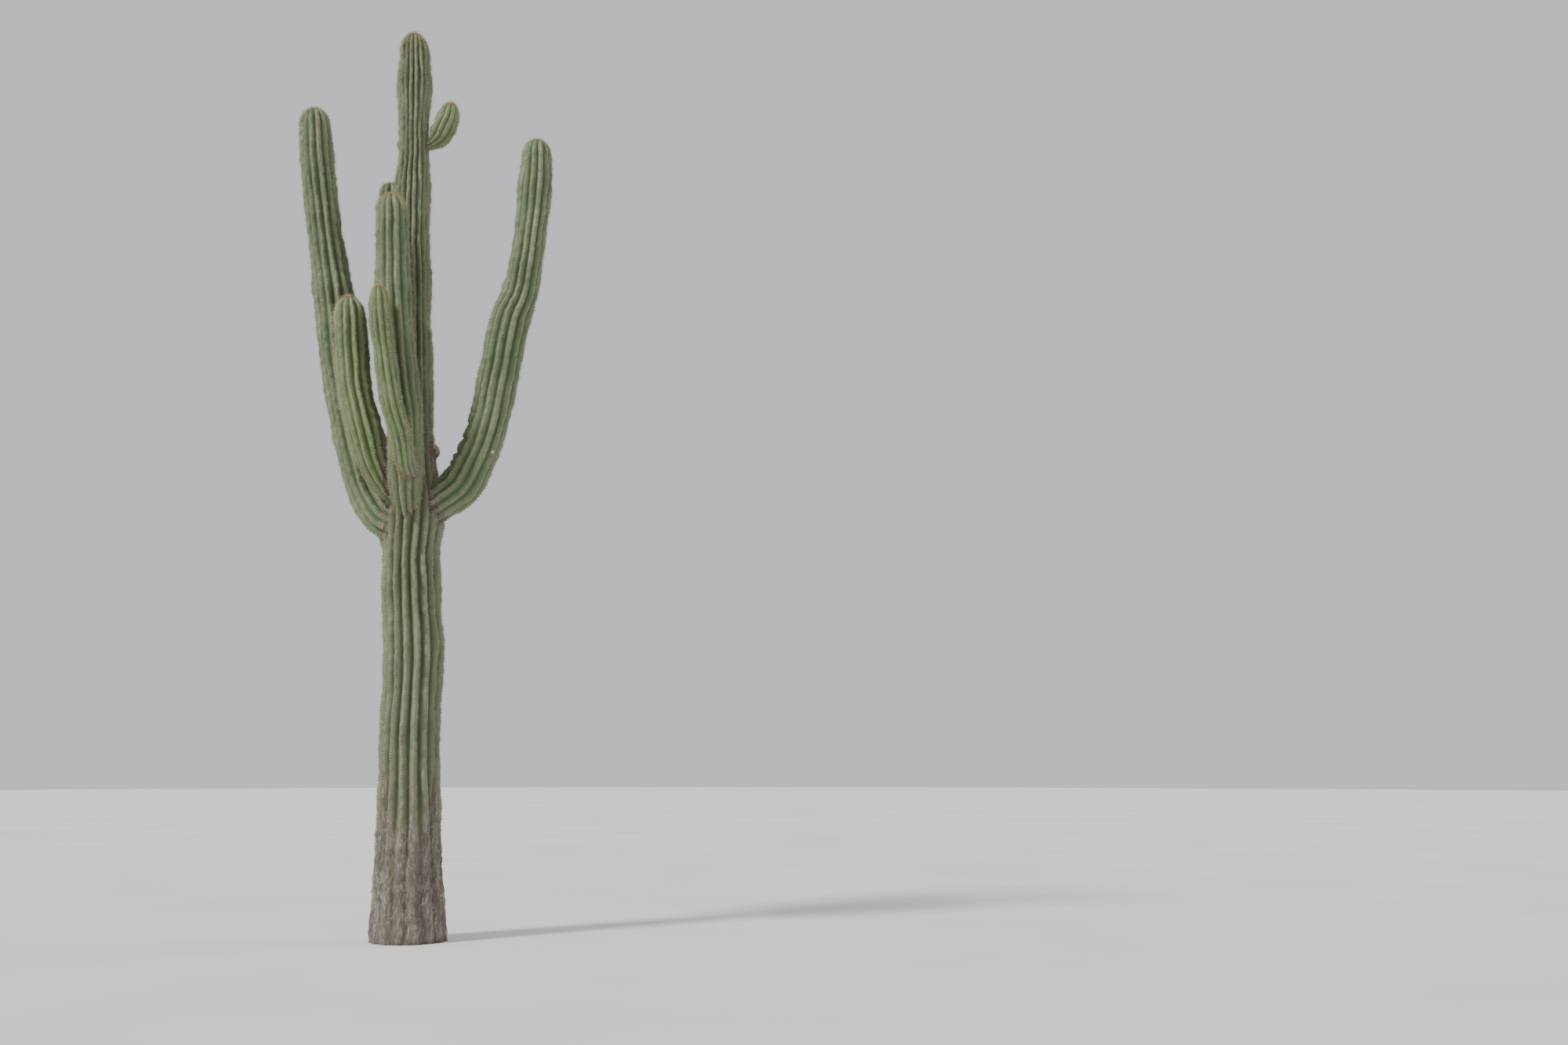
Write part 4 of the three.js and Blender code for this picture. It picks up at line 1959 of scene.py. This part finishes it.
    def sprouts(self) -> list[Limb]:
        """Measures out the pup near the trunk's top and the bud above the fork.

        Returns:
            The pup and the bud.
        """
        pup = Pup(
            name="upper_pup", nodes=("upper_pup",), ribs=10, tip=0.11, hinge=Hinge.FRONTWAYS, seed=83,
            swellings=(
                Swelling((-0.06, 0.0, 7.345), 0.075, 0.024), Swelling((-0.035, 0.0, 7.167), 0.07, -0.018),
                Swelling((-0.005, 0.0, 7.177), 0.04, -0.016)),
            stations=(
                (-0.17, 0.0, 7.18, 0.045), (-0.09, 0.0, 7.2, 0.052), (0.002, 0.0, 7.266, 0.092),
                (0.054, 0.0, 7.375, 0.106), (0.093, 0.0, 7.49, 0.099), (0.114, 0.0, 7.626, 0.082)))
        bud = Bud(
            name="side_bud", nodes=("side_bud",), ribs=8, tip=0.055, hinge=Hinge.FRONTWAYS, seed=97,
            stations=((-0.02, 0.0, 4.275, 0.06), (0.055, 0.0, 4.295, 0.08), (0.11, 0.0, 4.318, 0.066)))
        return [pup, bud]

    def build(self) -> list[Piece]:
        """Builds every limb in order, trunk first.

        Returns:
            All the pieces.
        """
        limbs = [self.trunk(), *self.side_arms(), *self.upright_arms(), *self.young_arms(), *self.sprouts()]
        return [piece for limb in limbs for piece in limb.dress(self.workshop, limbs)]


@dataclass(frozen=True)
class Sun:
    """One soft distant light.

    Attributes:
        name: Its name.
        strength: How strong it is.
        softness: How wide it looks, in degrees.
        height: How far above the horizon it is, in degrees.
        heading: Where it stands round the plant, in degrees from the front, to the right.
    """

    name: str
    strength: float
    softness: float
    height: float
    heading: float

    def build(self) -> None:
        """Adds the light."""
        data = bpy.data.lights.new(self.name, "SUN")
        data.energy = self.strength
        data.angle = math.radians(self.softness)
        sun = link(bpy.data.objects.new(self.name, data))
        sun.rotation_euler = (math.radians(90 - self.height), 0.0, math.radians(self.heading))


@dataclass
class Studio:
    """A pale floor, soft light all round, and the camera at a standing eye's height.

    Attributes:
        eye: Where the camera stands, in the plant's frame.
        tilt: How far it looks up, in degrees.
        lens: Its focal length in millimetres.
        sensor: How wide its picture is, in millimetres.
        sight: How far it sees.
        floor_radius: How far the floor reaches.
        sides: How many sides the floor's rim has.
        sky: The colour of the light all round.
        sky_strength: How strong that light is.
        suns: The distant lights.
    """

    eye: Place = (3.23, -13.50, 1.50)
    tilt: float = 9.02
    lens: float = 35.0
    sensor: float = 36.0
    sight: float = 500.0
    floor_radius: float = 90.0
    sides: int = 96
    sky: Colour = (0.86, 0.88, 0.92)
    sky_strength: float = 0.80
    suns: tuple[Sun, ...] = (
        Sun("key_light", strength=3.6, softness=9.0, height=42.0, heading=-52.0),
        Sun("fill_light", strength=0.7, softness=40.0, height=30.0, heading=110.0))

    def build_camera(self) -> None:
        """Sets the scene's camera."""
        data = bpy.data.cameras.new("camera")
        data.lens = self.lens
        data.sensor_width = self.sensor
        data.clip_end = self.sight
        camera = link(bpy.data.objects.new("camera", data))
        camera.location = self.eye
        camera.rotation_euler = (math.radians(90 + self.tilt), 0.0, 0.0)
        bpy.context.scene.camera = camera

    def build_floor(self) -> None:
        """Lays the floor just under the plant's cut."""
        angles = np.linspace(0.0, TURN, self.sides, endpoint=False)
        rim = np.stack([np.cos(angles), np.sin(angles), np.zeros(self.sides)], axis=1) * self.floor_radius
        floor = mesh_object("floor", rim, [tuple(range(self.sides))], {})
        floor.data.materials.append(FloorFinish().material())

    def build_sky(self) -> None:
        """Fills the surroundings with an even pale light."""
        world = bpy.data.worlds.new("studio")
        world.use_nodes = True
        graph = Graph(world.node_tree)
        sockets = {"Color": opaque(self.sky), "Strength": self.sky_strength}
        glow = graph.node("ShaderNodeBackground", {}, sockets)
        graph.node("ShaderNodeOutputWorld", {}, {"Surface": graph.out(glow)})
        bpy.context.scene.world = world

    def build(self) -> None:
        """Builds the camera, the floor and the lights."""
        self.build_camera()
        self.build_floor()
        self.build_sky()
        for sun in self.suns:
            sun.build()


def main() -> None:
    """Builds the studio and the plant, and reports each piece."""
    logging.basicConfig(level=logging.INFO, format="%(name)s %(message)s")
    Studio().build()
    for piece in Cactus().build():
        piece.declare()
        LOG.info("%s: %d triangles", piece.mesh.name, piece.triangles)


if __name__ == "__main__":
    main()
